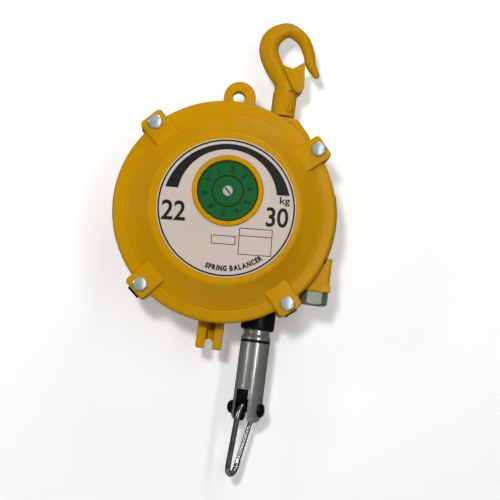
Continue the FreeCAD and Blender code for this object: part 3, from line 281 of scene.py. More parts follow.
@dataclass(frozen=True)
class Finish:
    """A surface finish; every subclass fills in its own nodes on a Principled shader."""

    name: str
    slot: str
    colour: Colour
    deep: float = 0.86

    def build(self) -> bpy.types.Material:
        """Makes the material once and hands the same one back later.

        Returns:
            The finished material.
        """
        title = f"{self.name}_finish"
        known = bpy.data.materials.get(title)
        if known:
            return known
        material = bpy.data.materials.new(title)
        material.use_nodes = True
        wiring = Wiring(material.node_tree)
        shader = wiring.node("BsdfPrincipled")
        sink = material.node_tree.nodes.new("ShaderNodeOutputMaterial")
        wiring.feed(sink.inputs["Surface"], shader.outputs["BSDF"])
        self.fill(wiring, shader)
        return material

    def fill(self, wiring: Wiring, shader: bpy.types.Node) -> None:
        """Sets the shader's inputs; each kind of finish has its own way."""
        raise NotImplementedError

    def tint(self, wiring: Wiring, shader: bpy.types.Node, scale: float,
             amount: float) -> bpy.types.NodeSocket:
        """Feeds the shader a colour that drifts towards its deep tone.

        Args:
            wiring: The material's wiring.
            shader: The Principled shader.
            scale: Clouds per metre.
            amount: How far the colour drifts.

        Returns:
            The mask of the drift.
        """
        tone = self.group(wiring, EFFECTS.mottle, Tone=self.colour, Deep_Tone=shade(self.colour, self.deep),
                          Scale=scale, Amount=amount)
        wiring.feed(shader.inputs["Base Color"], tone.outputs["Color"])
        return tone.outputs["Mask"]

    @staticmethod
    def dull(wiring: Wiring, shader: bpy.types.Node, mask: bpy.types.NodeSocket, low: float,
             high: float) -> None:
        """Varies the roughness with a mask.

        Args:
            wiring: The material's wiring.
            shader: The Principled shader.
            mask: The mask's socket.
            low: The roughness where the mask is 0.
            high: The roughness where it is 1.
        """
        wiring.feed(shader.inputs["Roughness"], wiring.ramp(mask, 0.0, 1.0, low, high))

    @staticmethod
    def group(wiring: Wiring, tree: bpy.types.NodeTree, **values: object) -> bpy.types.Node:
        """Places a shared effect.

        Args:
            wiring: The material's wiring.
            tree: The effect's tree.
            **values: The effect's inputs, with underscores for spaces.

        Returns:
            The group node.
        """
        made = wiring.node("Group", {"node_tree": tree})
        for name, value in values.items():
            wiring.feed(made.inputs[name.replace("_", " ")], value)
        return made

    @staticmethod
    def bump(wiring: Wiring, shader: bpy.types.Node, height: bpy.types.NodeSocket, depth: float) -> None:
        """Raises the surface by a height pattern.

        Args:
            wiring: The material's wiring.
            shader: The Principled shader.
            height: The pattern's socket.
            depth: How deep the pattern is, in metres.
        """
        made = wiring.node("Bump", None, Strength=1.0, Distance=depth, Height=height)
        wiring.feed(shader.inputs["Normal"], made.outputs["Normal"])


@dataclass(frozen=True)
class Enamel(Finish):
    """Sprayed enamel over cast or forged metal."""

    gloss: float = 0.26
    coat: float = 0.03
    shine: float = 0.12
    wave_scale: float = 170.0
    pit_scale: float = 800.0
    pit_share: float = 0.25
    depth: float = 0.00035

    def fill(self, wiring: Wiring, shader: bpy.types.Node) -> None:
        """Drifting colour, a gloss that varies with it, and an orange-peel skin under a thin clear coat."""
        mask = self.tint(wiring, shader, 28.0, 0.8)
        self.dull(wiring, shader, mask, self.gloss, self.gloss + 0.12)
        shader.inputs["Coat Weight"].default_value = self.coat
        shader.inputs["Coat Roughness"].default_value = 0.12
        shader.inputs["Specular IOR Level"].default_value = self.shine
        skin = self.group(wiring, EFFECTS.relief, Wave_Scale=self.wave_scale, Pit_Scale=self.pit_scale,
                          Pit_Share=self.pit_share)
        self.bump(wiring, shader, skin.outputs["Height"], self.depth)


@dataclass(frozen=True)
class Plated(Finish):
    """Bare or plated metal with drawn or turned lines."""

    deep: float = 0.72
    rough: float = 0.3
    spread: float = 0.14
    stretch: Place = (900.0, 900.0, 14.0)
    depth: float = 0.00004
    metallic: float = 1.0

    def fill(self, wiring: Wiring, shader: bpy.types.Node) -> None:
        """Tarnish in clouds, with streaks that vary both gloss and height."""
        self.tint(wiring, shader, 60.0, 0.85)
        shader.inputs["Metallic"].default_value = self.metallic
        lines = self.group(wiring, EFFECTS.streaks, Stretch=self.stretch)
        self.dull(wiring, shader, lines.outputs["Mask"], self.rough, self.rough + self.spread)
        self.bump(wiring, shader, lines.outputs["Height"], self.depth)


@dataclass(frozen=True)
class Moulded(Finish):
    """Rubber or plastic from a mould."""

    deep: float = 0.7
    rough: float = 0.5
    coat: float = 0.0
    grain: float = 900.0
    depth: float = 0.00012

    def fill(self, wiring: Wiring, shader: bpy.types.Node) -> None:
        """A fine matte skin with slightly uneven gloss."""
        mask = self.tint(wiring, shader, 45.0, 0.7)
        self.dull(wiring, shader, mask, self.rough, self.rough + 0.12)
        shader.inputs["Coat Weight"].default_value = self.coat
        shader.inputs["Specular IOR Level"].default_value = 0.3
        skin = self.group(wiring, EFFECTS.relief, Wave_Scale=self.grain * 0.3, Pit_Scale=self.grain,
                          Pit_Share=0.5)
        self.bump(wiring, shader, skin.outputs["Height"], self.depth)


@dataclass(frozen=True)
class Printed(Finish):
    """Printed foil or a figure's ink: smooth, with a faint drawn grain and handling marks."""

    deep: float = 0.93
    rough: float = 0.42
    depth: float = 0.000012

    def fill(self, wiring: Wiring, shader: bpy.types.Node) -> None:
        """A thin film whose tone and gloss drift very slightly."""
        self.tint(wiring, shader, 22.0, 0.7)
        lines = self.group(wiring, EFFECTS.streaks, Stretch=(30.0, 1400.0, 1400.0))
        self.dull(wiring, shader, lines.outputs["Mask"], self.rough, self.rough + 0.1)
        self.bump(wiring, shader, lines.outputs["Height"], self.depth)


class Finishes:
    """Every finish on the balancer."""

    case_enamel = Enamel("case_enamel", "case_enamel", linear(194, 141, 0), deep=0.9, shine=0.14, coat=0.04)
    hook_enamel = Enamel("hook_enamel", "hook_enamel", linear(192, 140, 0), deep=0.84, gloss=0.22, coat=0.06,
                         shine=0.16, wave_scale=150.0, pit_scale=420.0, pit_share=0.5, depth=0.0009)
    zinc = Plated("zinc_plate", "zinc", linear(214, 222, 222), rough=0.26, stretch=(500.0, 500.0, 500.0),
                  metallic=0.6)
    washer_zinc = Plated("washer_zinc", "zinc", linear(210, 210, 206), rough=0.32,
                         stretch=(300.0, 300.0, 300.0))
    head_zinc = Plated("worm_head_zinc", "zinc", linear(176, 184, 172), rough=0.42,
                       stretch=(600.0, 600.0, 60.0), metallic=0.75)
    bright = Plated("bright_zinc", "bright_zinc", linear(214, 214, 212), rough=0.14, spread=0.1,
                    stretch=(260.0, 260.0, 60.0), deep=0.55)
    # Painted shade: a dark copy of the nickel for the faces inside the swivel's slot
    inside = Plated("painted_slot_shade", "nickel", linear(78, 80, 76), rough=0.5, depth=0.00003)
    nickel = Plated("dull_nickel", "nickel", linear(190, 194, 186), metallic=0.8, rough=0.24, spread=0.1,
                    stretch=(420.0, 420.0, 3.0), deep=0.82, depth=0.000015)
    black_oxide = Plated("black_oxide", "dark_steel", linear(44, 44, 46), rough=0.3,
                         stretch=(400.0, 400.0, 400.0))
    steel = Plated("ground_steel", "steel", linear(188, 188, 188), rough=0.28)
    spring_steel = Plated("blued_steel", "spring_steel", linear(120, 126, 138), rough=0.3)
    bronze = Plated("sintered_bronze", "bronze", linear(200, 160, 100), rough=0.42, spread=0.2,
                    stretch=(900.0, 900.0, 900.0))
    cast_alloy = Plated("cast_alloy", "cast_alloy", linear(196, 198, 200), rough=0.45, spread=0.2,
                        stretch=(500.0, 500.0, 500.0), depth=0.0002)
    rope_wire = Plated("galvanised_strand", "rope_wire", linear(170, 172, 172), rough=0.36,
                       stretch=(1200.0, 1200.0, 60.0))
    rubber = Moulded("moulded_rubber", "rubber", linear(12, 12, 13), rough=0.36)
    black_plastic = Moulded("black_plastic", "black_plastic", linear(12, 12, 12), rough=0.4)
    dial_green = Moulded("dial_green", "dial_green", linear(12, 90, 42), rough=0.3, coat=0.05, depth=0.00003,
                         deep=0.85)
    foil = Printed("label_foil", "label", linear(199, 186, 173))
    ink = Printed("label_ink", "label", linear(8, 9, 13), rough=0.5, deep=0.8)
    # Dark ink for the dial's figures, also used as painted shade in the dial's groove, at its edge and in the
    # screw's slot
    figure_ink_and_painted_shade = Printed("figure_ink_and_painted_shade", "dial_green", linear(8, 30, 16), rough=0.6, deep=0.8)


# --- Meshes ----------------------------------------------------------------------------------------
class Solid:
    """A mesh in the making, in millimetres."""

    def __init__(self) -> None:
        """Starts empty."""
        self.bm = bmesh.new()

    def tidy(self) -> "Solid":
        """Welds doubles and points every face outwards."""
        bmesh.ops.remove_doubles(self.bm, verts=self.bm.verts, dist=0.0005)
        bmesh.ops.recalc_face_normals(self.bm, faces=self.bm.faces)
        return self

    def lathe(self, profile: Sequence[Point], centre: Point = (0.0, 0.0), level: Level = Level.ROUND,
              closed: bool = False) -> "Solid":
        """Turns a profile about a line along Z.

        Args:
            profile: Corners as (radius, height).
            centre: Where the line stands.
            level: How finely the turn is cut.
            closed: Whether the last corner joins the first.

        Returns:
            The solid itself.
        """
        verts = [self.bm.verts.new((centre[0] + radius, centre[1], height)) for radius, height in profile]
        pairs = list(zip(verts, verts[1:])) + ([(verts[-1], verts[0])] if closed else [])
        edges = [self.bm.edges.new(pair) for pair in pairs]
        bmesh.ops.spin(self.bm, geom=verts + edges, cent=(*centre, 0), axis=(0, 0, 1), dvec=(0, 0, 0),
                       angle=2 * math.pi, steps=level.value, use_merge=True, use_duplicate=False)
        return self.tidy()

    def prism(self, outline: Sequence[Point], low: float, high: float) -> "Solid":
        """Raises an outline of (x, y) corners into a block.

        Args:
            outline: The corners in order.
            low: The lower height.
            high: The upper height.

        Returns:
            The solid itself.
        """
        face = self.bm.faces.new([self.bm.verts.new((x, y, low)) for x, y in outline])
        made = bmesh.ops.extrude_face_region(self.bm, geom=[face])
        bmesh.ops.translate(self.bm, verts=verts_of(made["geom"]), vec=(0, 0, high - low))
        return self.tidy()

    def block(self, low: Sequence[float], high: Sequence[float]) -> "Solid":
        """Adds a block between two opposite corners."""
        size = Vector(high) - Vector(low)
        centre = (Vector(high) + Vector(low)) / 2
        place = Matrix.Translation(centre) @ Matrix.Diagonal((*size, 1))
        bmesh.ops.create_cube(self.bm, size=1.0, matrix=place)
        return self

    def rod(self, radius: float, start: Sequence[float], length: float, axis: Axis = Axis.Z,
            level: Level = Level.SMALL, tip: float | None = None) -> "Solid":
        """Adds a round bar or taper.

        Args:
            radius: The radius at its start.
            start: The centre of its first end.
            length: How long it is.
            axis: The direction in which it runs.
            level: How finely it is cut.
            tip: The radius at its far end, if that differs.

        Returns:
            The solid itself.
        """
        place = Matrix.Translation(start) @ axis.turn @ Matrix.Translation((0, 0, length / 2))
        bmesh.ops.create_cone(self.bm, cap_ends=True, segments=level.value, radius1=radius,
                              radius2=radius if tip is None else tip, depth=length, matrix=place)
        return self

    def sweep(self, stations: Sequence[Matrix], level: Level = Level.TINY, lobes: int = 0,
              lobe_depth: float = 0.0) -> "Solid":
        """Carries a round section of radius 1 through a row of places.

        Args:
            stations: The section's place, turn and size at each step.
            level: How many sides the section has.
            lobes: How many strands the section shows.
            lobe_depth: How far the valleys between strands go in, as a share of the radius.

        Returns:
            The solid itself.
        """
        made = bmesh.ops.create_circle(self.bm, cap_ends=True, radius=1.0, segments=level.value)
        verts = made["verts"]
        if lobes:
            for vert in verts:
                angle = math.atan2(vert.co.y, vert.co.x)
                vert.co *= 1 - lobe_depth * (1 - abs(math.sin(lobes * angle / 2)))
        face = verts[0].link_faces[0]
        bmesh.ops.transform(self.bm, matrix=stations[0], verts=verts)
        for before, after in zip(stations, stations[1:]):
            made = bmesh.ops.extrude_face_region(self.bm, geom=[face])
            bmesh.ops.transform(self.bm, matrix=after @ before.inverted(), verts=verts_of(made["geom"]))
            face = next(item for item in made["geom"] if isinstance(item, bmesh.types.BMFace))
        bmesh.ops.recalc_face_normals(self.bm, faces=self.bm.faces)
        return self

    def loop(self, radius: float, height: float, centre: Point) -> list[bmesh.types.BMEdge]:
        """Adds an open ring of edges.

        Args:
            radius: The ring's radius.
            height: Its height.
            centre: Its centre.

        Returns:
            The ring's edges.
        """
        made = bmesh.ops.create_circle(self.bm, cap_ends=False, radius=radius, segments=Level.FINE.value,
                                       matrix=Matrix.Translation((*centre, height)))
        return list({edge for vert in made["verts"] for edge in vert.link_edges})

    def bridge(self, first: list[bmesh.types.BMEdge], second: list[bmesh.types.BMEdge]) -> "Solid":
        """Joins two rings of edges with faces."""
        bmesh.ops.bridge_loops(self.bm, edges=first + second)
        return self

    def rim(self, radius: float, height: float, centre: Point = (0.0, 0.0)) -> list[bmesh.types.BMEdge]:
        """The open edges that lie on a circle.

        Args:
            radius: The circle's radius.
            height: Its height.
            centre: Its centre.

        Returns:
            The edges found.
        """
        def on_circle(vert: bmesh.types.BMVert) -> bool:
            """True for a corner on the circle."""
            away = math.hypot(vert.co.x - centre[0], vert.co.y - centre[1])
            return abs(away - radius) < 0.01 and abs(vert.co.z - height) < 0.01

        return [edge for edge in self.bm.edges if edge.is_boundary and all(on_circle(v) for v in edge.verts)]

    def round(self, offset: float, chosen: Callable[[bmesh.types.BMEdge], bool] | None = None,
              segments: int = 3) -> "Solid":
        """Rounds edges.

        Args:
            offset: How far the rounding reaches from the edge.
            chosen: Which edges to round; the sharp ones if left out.
            segments: How finely.

        Returns:
            The solid itself.
        """
        picked = [edge for edge in self.bm.edges if (chosen or is_sharp)(edge)]
        bmesh.ops.bevel(self.bm, geom=picked, offset=offset, offset_type="OFFSET", segments=segments,
                        profile=0.5, affect="EDGES", clamp_overlap=True, material=-1)
        return self

    def place(self, matrix: Matrix) -> "Solid":
        """Moves or turns the whole mesh."""
        bmesh.ops.transform(self.bm, matrix=matrix, verts=self.bm.verts)
        return self

    def add(self, *others: "Solid") -> "Solid":
        """Takes other solids into this one as loose shells."""
        for other in others:
            mesh = bpy.data.meshes.new("part")
            other.bm.to_mesh(mesh)
            self.bm.from_mesh(mesh)
            bpy.data.meshes.remove(mesh)
        return self

    def carve(self, *cutters: "Solid", keep: bool = False) -> "Solid":
        """Cuts other solids out of this one, or keeps only what it shares with them.

        Args:
            *cutters: The solids to cut with.
            keep: Whether to keep the shared part instead.

        Returns:
            The solid itself.
        """
        for cutter in cutters:
            base, tool = self.loose_object(), cutter.loose_object()
            modifier = base.modifiers.new("carve", "BOOLEAN")
            modifier.object = tool
            modifier.operation = "INTERSECT" if keep else "DIFFERENCE"
            modifier.solver = "EXACT"
            bpy.context.view_layer.update()
            shaped = base.evaluated_get(bpy.context.evaluated_depsgraph_get())
            mesh = bpy.data.meshes.new_from_object(shaped)
            self.bm.free()
            self.bm = bmesh.new()
            self.bm.from_mesh(mesh)
            for made in (base, tool):
                bpy.data.objects.remove(made)
            bpy.data.meshes.remove(mesh)
        return self

    def loose_object(self) -> bpy.types.Object:
        """Puts a copy of the mesh in the scene for a moment."""
        mesh = bpy.data.meshes.new("tool")
        self.bm.to_mesh(mesh)
        made = bpy.data.objects.new("tool", mesh)
        bpy.context.scene.collection.objects.link(made)
        return made


def verts_of(items: Sequence[object]) -> list[bmesh.types.BMVert]:
    """The corners among an operator's results."""
    return [item for item in items if isinstance(item, bmesh.types.BMVert)]


def is_sharp(edge: bmesh.types.BMEdge) -> bool:
    """True where two faces meet at a clear angle."""
    return len(edge.link_faces) == 2 and edge.calc_face_angle(0.0) > math.radians(SHARP_ANGLE)


def upright(edge: bmesh.types.BMEdge) -> bool:
    """True for a sharp edge along Z."""
    start, end = (vert.co for vert in edge.verts)
    return is_sharp(edge) and abs((end - start).normalized().z) > 0.99


def above(height: float) -> Callable[[bmesh.types.BMEdge], bool]:
    """Picks the sharp edges that lie wholly above a height."""
    return lambda edge: is_sharp(edge) and all(vert.co.z > height for vert in edge.verts)


def arc(centre: Point, radius: float, start: float, end: float, steps: int = 8) -> list[Point]:
    """Corners along an arc, for a profile or an outline.

    Args:
        centre: The arc's centre.
        radius: Its radius.
        start: The first angle in degrees.
        end: The last angle in degrees.
        steps: How many parts it has.

    Returns:
        The corners from start to end.
    """
    angles = [math.radians(start + (end - start) * step / steps) for step in range(steps + 1)]
    return [(centre[0] + radius * math.cos(angle), centre[1] + radius * math.sin(angle)) for angle in angles]


def about_z(angle: float) -> Matrix:
    """A turn about Z in degrees."""
    return Matrix.Rotation(math.radians(angle), 4, "Z")


def on_bolt_circle(angle: float) -> Vector:
    """A bolt's place in the housing's frame, with the angle clockwise from the top."""
    turn = math.radians(angle)
    return Vector((BOLT_CIRCLE * math.sin(turn), BOLT_CIRCLE * math.cos(turn), 0))


def show(name: str, solid: Solid, finish: Finish, body: str, replaces: Sequence[str] = (),
         place: Matrix = Matrix.Identity(4), smooth: float = SMOOTH_LIMIT) -> bpy.types.Object:
    """Makes a solid a dressed object that moves with a body.

    Args:
        name: The piece's name.
        solid: Its mesh in millimetres.
        finish: Its finish.
        body: The body that it moves with, or nothing to leave it untied.
        replaces: The CAD nodes that it stands for.
        place: Where its frame stands in the world, in millimetres.
        smooth: The angle in degrees over which an edge looks sharp.

    Returns:
        The object.
    """
    solid.place(Matrix.Scale(MM, 4) @ place)
    mesh = bpy.data.meshes.new(name)
    solid.bm.to_mesh(mesh)
    solid.bm.free()
    mesh.shade_smooth()
    mesh.set_sharp_from_angle(angle=math.radians(smooth))
    mesh.materials.append(finish.build())
    made = bpy.data.objects.new(name, mesh)
    bpy.context.scene.collection.objects.link(made)
    if body:
        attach(made, body)
    if replaces:
        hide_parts(*replaces)
    log.info("%s: %d faces", name, len(mesh.polygons))
    return made


def figure(text: str, height: float, bold: float) -> Solid:
    """A word or figure as a thin raised solid, centred on the origin.

    Args:
        text: What it says.
        height: The height of its tallest letter.
        bold: How far its strokes are spread, as a share of the height.

    Returns:
        The solid.
    """
    curve = bpy.data.curves.new("figure", "FONT")
    curve.body = text
    curve.size = 1.0
    curve.offset = bold
    curve.resolution_u = 4
    made = bpy.data.objects.new("figure", curve)
    bpy.context.scene.collection.objects.link(made)
    bpy.context.view_layer.update()
    mesh = bpy.data.meshes.new_from_object(made.evaluated_get(bpy.context.evaluated_depsgraph_get()))
    solid = Solid()
    solid.bm.from_mesh(mesh)
    bpy.data.objects.remove(made)
    bpy.data.curves.remove(curve)
    bpy.data.meshes.remove(mesh)
    low = Vector(min(vert.co[axis] for vert in solid.bm.verts) for axis in range(3))
    high = Vector(max(vert.co[axis] for vert in solid.bm.verts) for axis in range(3))
    solid.place(Matrix.Scale(height / (high.y - low.y), 4) @ Matrix.Translation(-(low + high) / 2))
    bmesh.ops.remove_doubles(solid.bm, verts=solid.bm.verts, dist=0.001)
    raised = bmesh.ops.extrude_face_region(solid.bm, geom=list(solid.bm.faces))
    bmesh.ops.translate(solid.bm, verts=verts_of(raised["geom"]), vec=(0, 0, PRINT_HEIGHT))
    bmesh.ops.recalc_face_normals(solid.bm, faces=solid.bm.faces)
    return solid


def width_of(solid: Solid) -> float:
    """How wide a solid is along X."""
    across = [vert.co.x for vert in solid.bm.verts]
    return max(across) - min(across)


# --- Top hook and latch ----------------------------------------------------------------------------
@dataclass
class TopHook:
    """The forged hook with its barrel, rivet and spring latch."""

    stations: tuple[tuple[float, float, float, float], ...] = (
        (0, -61, 12.4, 12.4), (-4, -49, 10.4, 9.6), (-16.5, -33, 10.6, 9.5), (-24, -16, 10.7, 9.5),
        (-20.3, -0.5, 10.4, 9.3), (-5.0, 9.4, 7.9, 8.6), (11.6, 1.4, 7.0, 7.8), (20.3, -13.4, 6.5, 6.6),
        (24.0, -25.6, 5.8, 5.6), (31.2, -36.4, 4.0, 3.9))
    steps: int = 8
    barrel_radius: float = 13.2
    barrel_low: float = -88.5
    barrel_high: float = -60.0
    pivot: Point = (12.6, -56.0)
    ear: float = 4.2
    ear_half: float = 6.0
    foot: float = 5.2
    cheek: tuple[Point, ...] = ((-7.2, -32.6), (4.5, -35.4), (16.6, -26.0), (19.2, -54.2))
    cheek_half: float = 12.1
    sheet: float = 1.5
    rivet_height: float = -79.5
    rivet_angle: float = 22.0
    rivet_radius: float = 5.2
    pin_radius: float = 1.5
    coil_starts: Point = (-10.1, 6.5)
    coil_radius: float = 2.75
    coil_length: float = 3.6
    coil_turns: int = 3
    wire: float = 0.55

    def build(self) -> None:
        """Builds the hook, its rivet, the latch, the latch's pin and its spring."""
        show("forged_hook", self.forging(), Finishes.hook_enamel, "hook", ["top_hook"])
        show("rivet_heads", self.rivet(), Finishes.hook_enamel, "hook", ["hook_rivet"])
        show("latch_sheet", self.latch(), Finishes.hook_enamel, "latch", ["hook_latch"])
        show("latch_pivot", self.pin(), Finishes.hook_enamel, "hook", ["latch_pin"])
        show("latch_coils", self.coils(), Finishes.spring_steel, "latch", ["latch_spring"])

    def centre_line(self) -> list[Matrix]:
        """The places of the hook's sections.

        Returns:
            A matrix for each section, with the section's X in the hook's plane.
        """
        rows = [Vector(row) for row in self.stations]
        rows = [rows[0] * 2 - rows[1], *rows, rows[-1] * 2 - rows[-2]]
        line = []
        for index in range(1, len(rows) - 2):
            for step in range(self.steps + (index == len(rows) - 3)):
                line.append(smooth_between(rows[index - 1:index + 3], step / self.steps))
        places = []
        for index, row in enumerate(line):
            before, after = line[max(index - 1, 0)], line[min(index + 1, len(line) - 1)]
            ahead = Vector((after[0] - before[0], 0, after[1] - before[1])).normalized()
            side = Vector((-ahead.z, 0, ahead.x))
            turn = Matrix((side, Vector((0, 1, 0)), ahead)).transposed().to_4x4()
            size = Matrix.Diagonal((row[2], row[3], 1, 1))
            places.append(Matrix.Translation((row[0], 0, row[1])) @ turn @ size)
        last = places[-1]
        for share in (0.8, 0.45):
            reach = math.sqrt(1 - share * share) * self.stations[-1][2]
            places.append(last @ Matrix.Translation((0, 0, reach)) @ Matrix.Diagonal((share, share, 1, 1)))
        return places

    def forging(self) -> Solid:
        """The bow, the barrel and the latch's ear.

        Returns:
            The solid.
        """
        bow = Solid().sweep(self.centre_line(), Level.TINY)
        radius, low, high = self.barrel_radius, self.barrel_low, self.barrel_high
        barrel = Solid().lathe([(0, low), (radius - 1.2, low), (radius, low + 1.2), *arc(
            (radius - 3, high - 3), 3, 0, 90, 4), (0, high)])
        across, rise = self.pivot
        ear = Solid().rod(self.ear, (across, -self.ear_half, rise), 2 * self.ear_half, Axis.Y, Level.TINY)
        ear.block((0, -self.ear_half, rise - self.ear), (across, self.ear_half, rise + self.ear))
        return bow.add(barrel, ear)

    def rivet(self) -> Solid:
        """The rivet's two low domes.

        Returns:
            The solid.
        """
        dome = [(0, 2.4), *reversed(arc((0, 0), self.rivet_radius, 8, 62, 4)),
                (self.rivet_radius + 0.4, 0), (0, 0)]
        dome = [(radius, height * 0.5) for radius, height in dome]
        heads = Solid()
        for side in (0, 180):
            head = Solid().lathe([(radius, height + self.barrel_radius - 0.6) for radius, height in dome],
                                 level=Level.TINY)
            lying = Matrix.Rotation(math.radians(90), 4, "X")
            heads.add(head.place(about_z(side + self.rivet_angle) @ lying))
        return heads.place(Matrix.Translation((0, 0, self.rivet_height)))

    def latch(self) -> Solid:
        """The bent sheet: two cheeks and the strip that joins them.

        Returns:
            The solid.
        """
        outline = [*self.cheek, *arc(self.pivot, self.foot, -20, -150, 6)]
        half, sheet = self.cheek_half, self.sheet
        flat = Matrix.Rotation(math.radians(90), 4, "X")
        sides = Solid()
        for low in (-half, half - sheet):
            cheek = Solid().prism(outline, low, low + sheet).round(0.45, segments=2)
            sides.add(cheek.place(flat))
        top, low = self.cheek[2], self.cheek[3]
        strip = [(top[0] - sheet, top[1]), top, low, (low[0] - sheet, low[1])]
        sides.add(Solid().prism(strip, -half + 0.2, half - 0.2).round(0.4, segments=2).place(flat))
        return sides

    def pin(self) -> Solid:
        """The latch's pin with its small heads.

        Returns:
            The solid.
        """
        half = self.cheek_half
        start = (self.pivot[0], -half - 0.8, self.pivot[1])
        bar = Solid().rod(self.pin_radius, start, half * 2 + 1.6, Axis.Y, Level.TINY)
        return bar.round(0.4, segments=2)

    def coils(self) -> Solid:
        """Two coils of spring wire round the pin.

        Returns:
            The solid.
        """
        wires = Solid()
        steps = 20 * self.coil_turns
        section = Matrix.Diagonal((self.wire, self.wire, 1, 1))
        for start in self.coil_starts:
            places = []
            for step in range(steps + 1):
                angle = 2 * math.pi * self.coil_turns * step / steps
                centre = Vector((self.pivot[0] + self.coil_radius * math.cos(angle),
                                 start + self.coil_length * step / steps,
                                 self.pivot[1] + self.coil_radius * math.sin(angle)))
                places.append(Matrix.Translation(centre) @ Matrix.Rotation(-angle, 4, "Y") @ section)
            wires.add(Solid().sweep(places, Level.TINY))
        return wires


def smooth_between(rows: Sequence[Vector], share: float) -> Vector:
    """A point on a smooth curve between the second and third of four rows.

    Args:
        rows: Four rows of equal length.
        share: How far along, from 0 to 1.

    Returns:
        The row there.
    """
    before, start, end, after = rows
    square, cube = share * share, share ** 3
    return 0.5 * (2 * start + (end - before) * share + (2 * before - 5 * start + 4 * end - after) * square
                  + (3 * start - before - 3 * end + after) * cube)


# --- Housing ---------------------------------------------------------------------------------------
@dataclass
class Housing:
    """The two castings, drawn in the housing's own frame: x right, y up, z forward."""

    case_radius: float = 115.0
    cover_radius: float = 117.0
    split: float = 44.0
    back: float = -28.0
    rim: float = 56.0
    face: float = 78.0
    ridge: float = 101.0
    plateau: float = 79.0
    wall: float = 5.0
    middle: float = 66.0
    bezel: float = 36.6
    window: float = 31.4
    bezel_top: float = 80.5
    window_floor: float = 73.5
    lug_half: float = 13.5
    lug_inner: float = 92.0
    lug_outer: float = 126.0
    lug_top: float = 62.5
    throat: float = 19.2
    well: float = 25.7

    def build(self) -> None:
        """Builds the cover and every part of the rear casting."""
        for name, make, nodes in (
                ("cover_casting", self.cover, ["front_cover"]), ("case_casting", self.case, ["rear_case"]),
                ("hook_shoulder", self.shoulder, []), ("safety_eye", self.eye, []),
                ("bottom_fork", self.fork, []), ("worm_housing", self.worm_housing, [])):
            show(name, make(), Finishes.case_enamel, "housing", nodes, HOUSING)

    def cover(self) -> Solid:
        """The cover: rim, shoulder, face with the dial's bezel, and four lugs.

        Returns:
            The solid.
        """
        inner, wall = self.middle, self.wall
        shell = Solid().lathe([
            (inner, self.face),
            *reversed(arc((self.plateau - 3.5, self.face - 7.0), 7.0, 42, 90, 5)),
            (self.ridge - 0.6, self.rim + 1.5), (self.ridge + 0.1, self.rim + 1.25),
            (self.ridge + 1.6, self.rim + 0.95), (self.ridge + 2.2, self.rim),
            *reversed(arc((self.cover_radius - 4.5, self.rim - 4.5), 4.5, 0, 90, 6)),
            (self.cover_radius, self.split), (110.0, self.split), (110.0, self.rim - wall),
            (self.ridge - 3, self.rim - wall), (self.plateau - 4, self.face - wall),
            (inner, self.face - wall),
        ], level=Level.FINE)
        centre = (0.0, DIAL_RISE)
        shell.lathe([
            (self.bezel, self.face), *arc((self.bezel - 2.0, self.bezel_top - 2.0), 2.0, 0, 90, 5),
            *arc((self.window + 1.4, self.bezel_top - 1.4), 1.4, 90, 180, 4),
            (self.window, self.window_floor), (3.05, self.window_floor), (3.05, self.window_floor - wall),
            (self.bezel, self.window_floor - wall), (self.bezel, self.face - wall),
        ], centre, Level.FINE)
        shell.bridge(shell.rim(inner, self.face), shell.rim(self.bezel, self.face, centre))
        shell.bridge(shell.rim(inner, self.face - wall), shell.rim(self.bezel, self.face - wall, centre))
        shell.tidy()
        for angle in LUG_ANGLES:
            shell.add(self.lug(self.lug_inner, self.split, self.lug_top, 2.2).place(about_z(-angle)))
        return shell

    def lug(self, inner: float, low: float, high: float, soft: float) -> Solid:
        """A block that stands out from the rim, with rounded outer corners.

        Args:
            inner: Where it starts from the axis.
            low: Its back.
            high: Its front.
            soft: The rounding of its front edge.

        Returns:
            The solid.
        """
        half = self.lug_half
        outline = [(-half, inner), (half, inner), (half, self.lug_outer), (-half, self.lug_outer)]
        block = Solid().prism(outline, low, high)
        block.round(4.5, lambda edge: upright(edge) and edge.verts[0].co.y > self.lug_outer - 1, 5)
        front = above(high - 0.1)
        return block.round(soft, lambda edge: front(edge) and max(v.co.y for v in edge.verts) > inner + 1, 4)

    def case(self) -> Solid:
        """The rear casting's shell with its well, lugs, rear boss and ribs.

        Returns:
            The solid.
        """
        split = self.split - 0.3
        corner = 12.0
        shell = Solid().lathe([
            (0, self.back), *arc((self.case_radius - corner, self.back + corner), corner, -90, 0, 8),
            (self.case_radius, split), (self.case_radius - self.wall, split),
            (self.case_radius - self.wall, self.back + corner),
            (self.case_radius - corner, self.back + self.wall),
            (0, self.back + self.wall),
        ], level=Level.FINE)
        at = (ROPE_X - SHAFT_X, -145.0, 0.0)
        throat = Solid().rod(self.throat, at, 55.0, Axis.Y, Level.ROUND)
        shell.carve(throat)
        well = Solid().rod(self.well, (at[0], -115.0, 0.0), 29.5, Axis.Y, Level.ROUND)
        well.carve(Solid().rod(self.case_radius - 0.8, (0, 0, self.back + 0.5), 60.0, level=Level.FINE),
                   keep=True)
        shell.add(well.carve(throat))
        for angle in LUG_ANGLES:
            block = self.lug(104.0, self.split - 14.0, split, 0.3)
            slot = Solid().block((-7.55, 107.75, 33.55), (7.55, 128.0, 40.45))
            shell.add(block.carve(slot).place(about_z(-angle)))
        boss = Solid().lathe([(0, self.back + 1), (22.6, self.back + 1), (22.0, self.back - 5.2),
                              (21.2, self.back - 6.0), (0, self.back - 6.0)])
        shell.add(boss)
        for index in range(6):
            rib = Solid().prism([(10, -2.5), *arc((99.0, 0), 2.5, -90, 90, 6), (10, 2.5)], self.back - 3.0,
                                self.back + 1.0)
            rib.round(0.9, lambda edge: is_sharp(edge) and all(v.co.z < self.back - 2.9 for v in edge.verts))
            shell.add(rib.place(about_z(60.0 * index + 30.0)))
        return shell

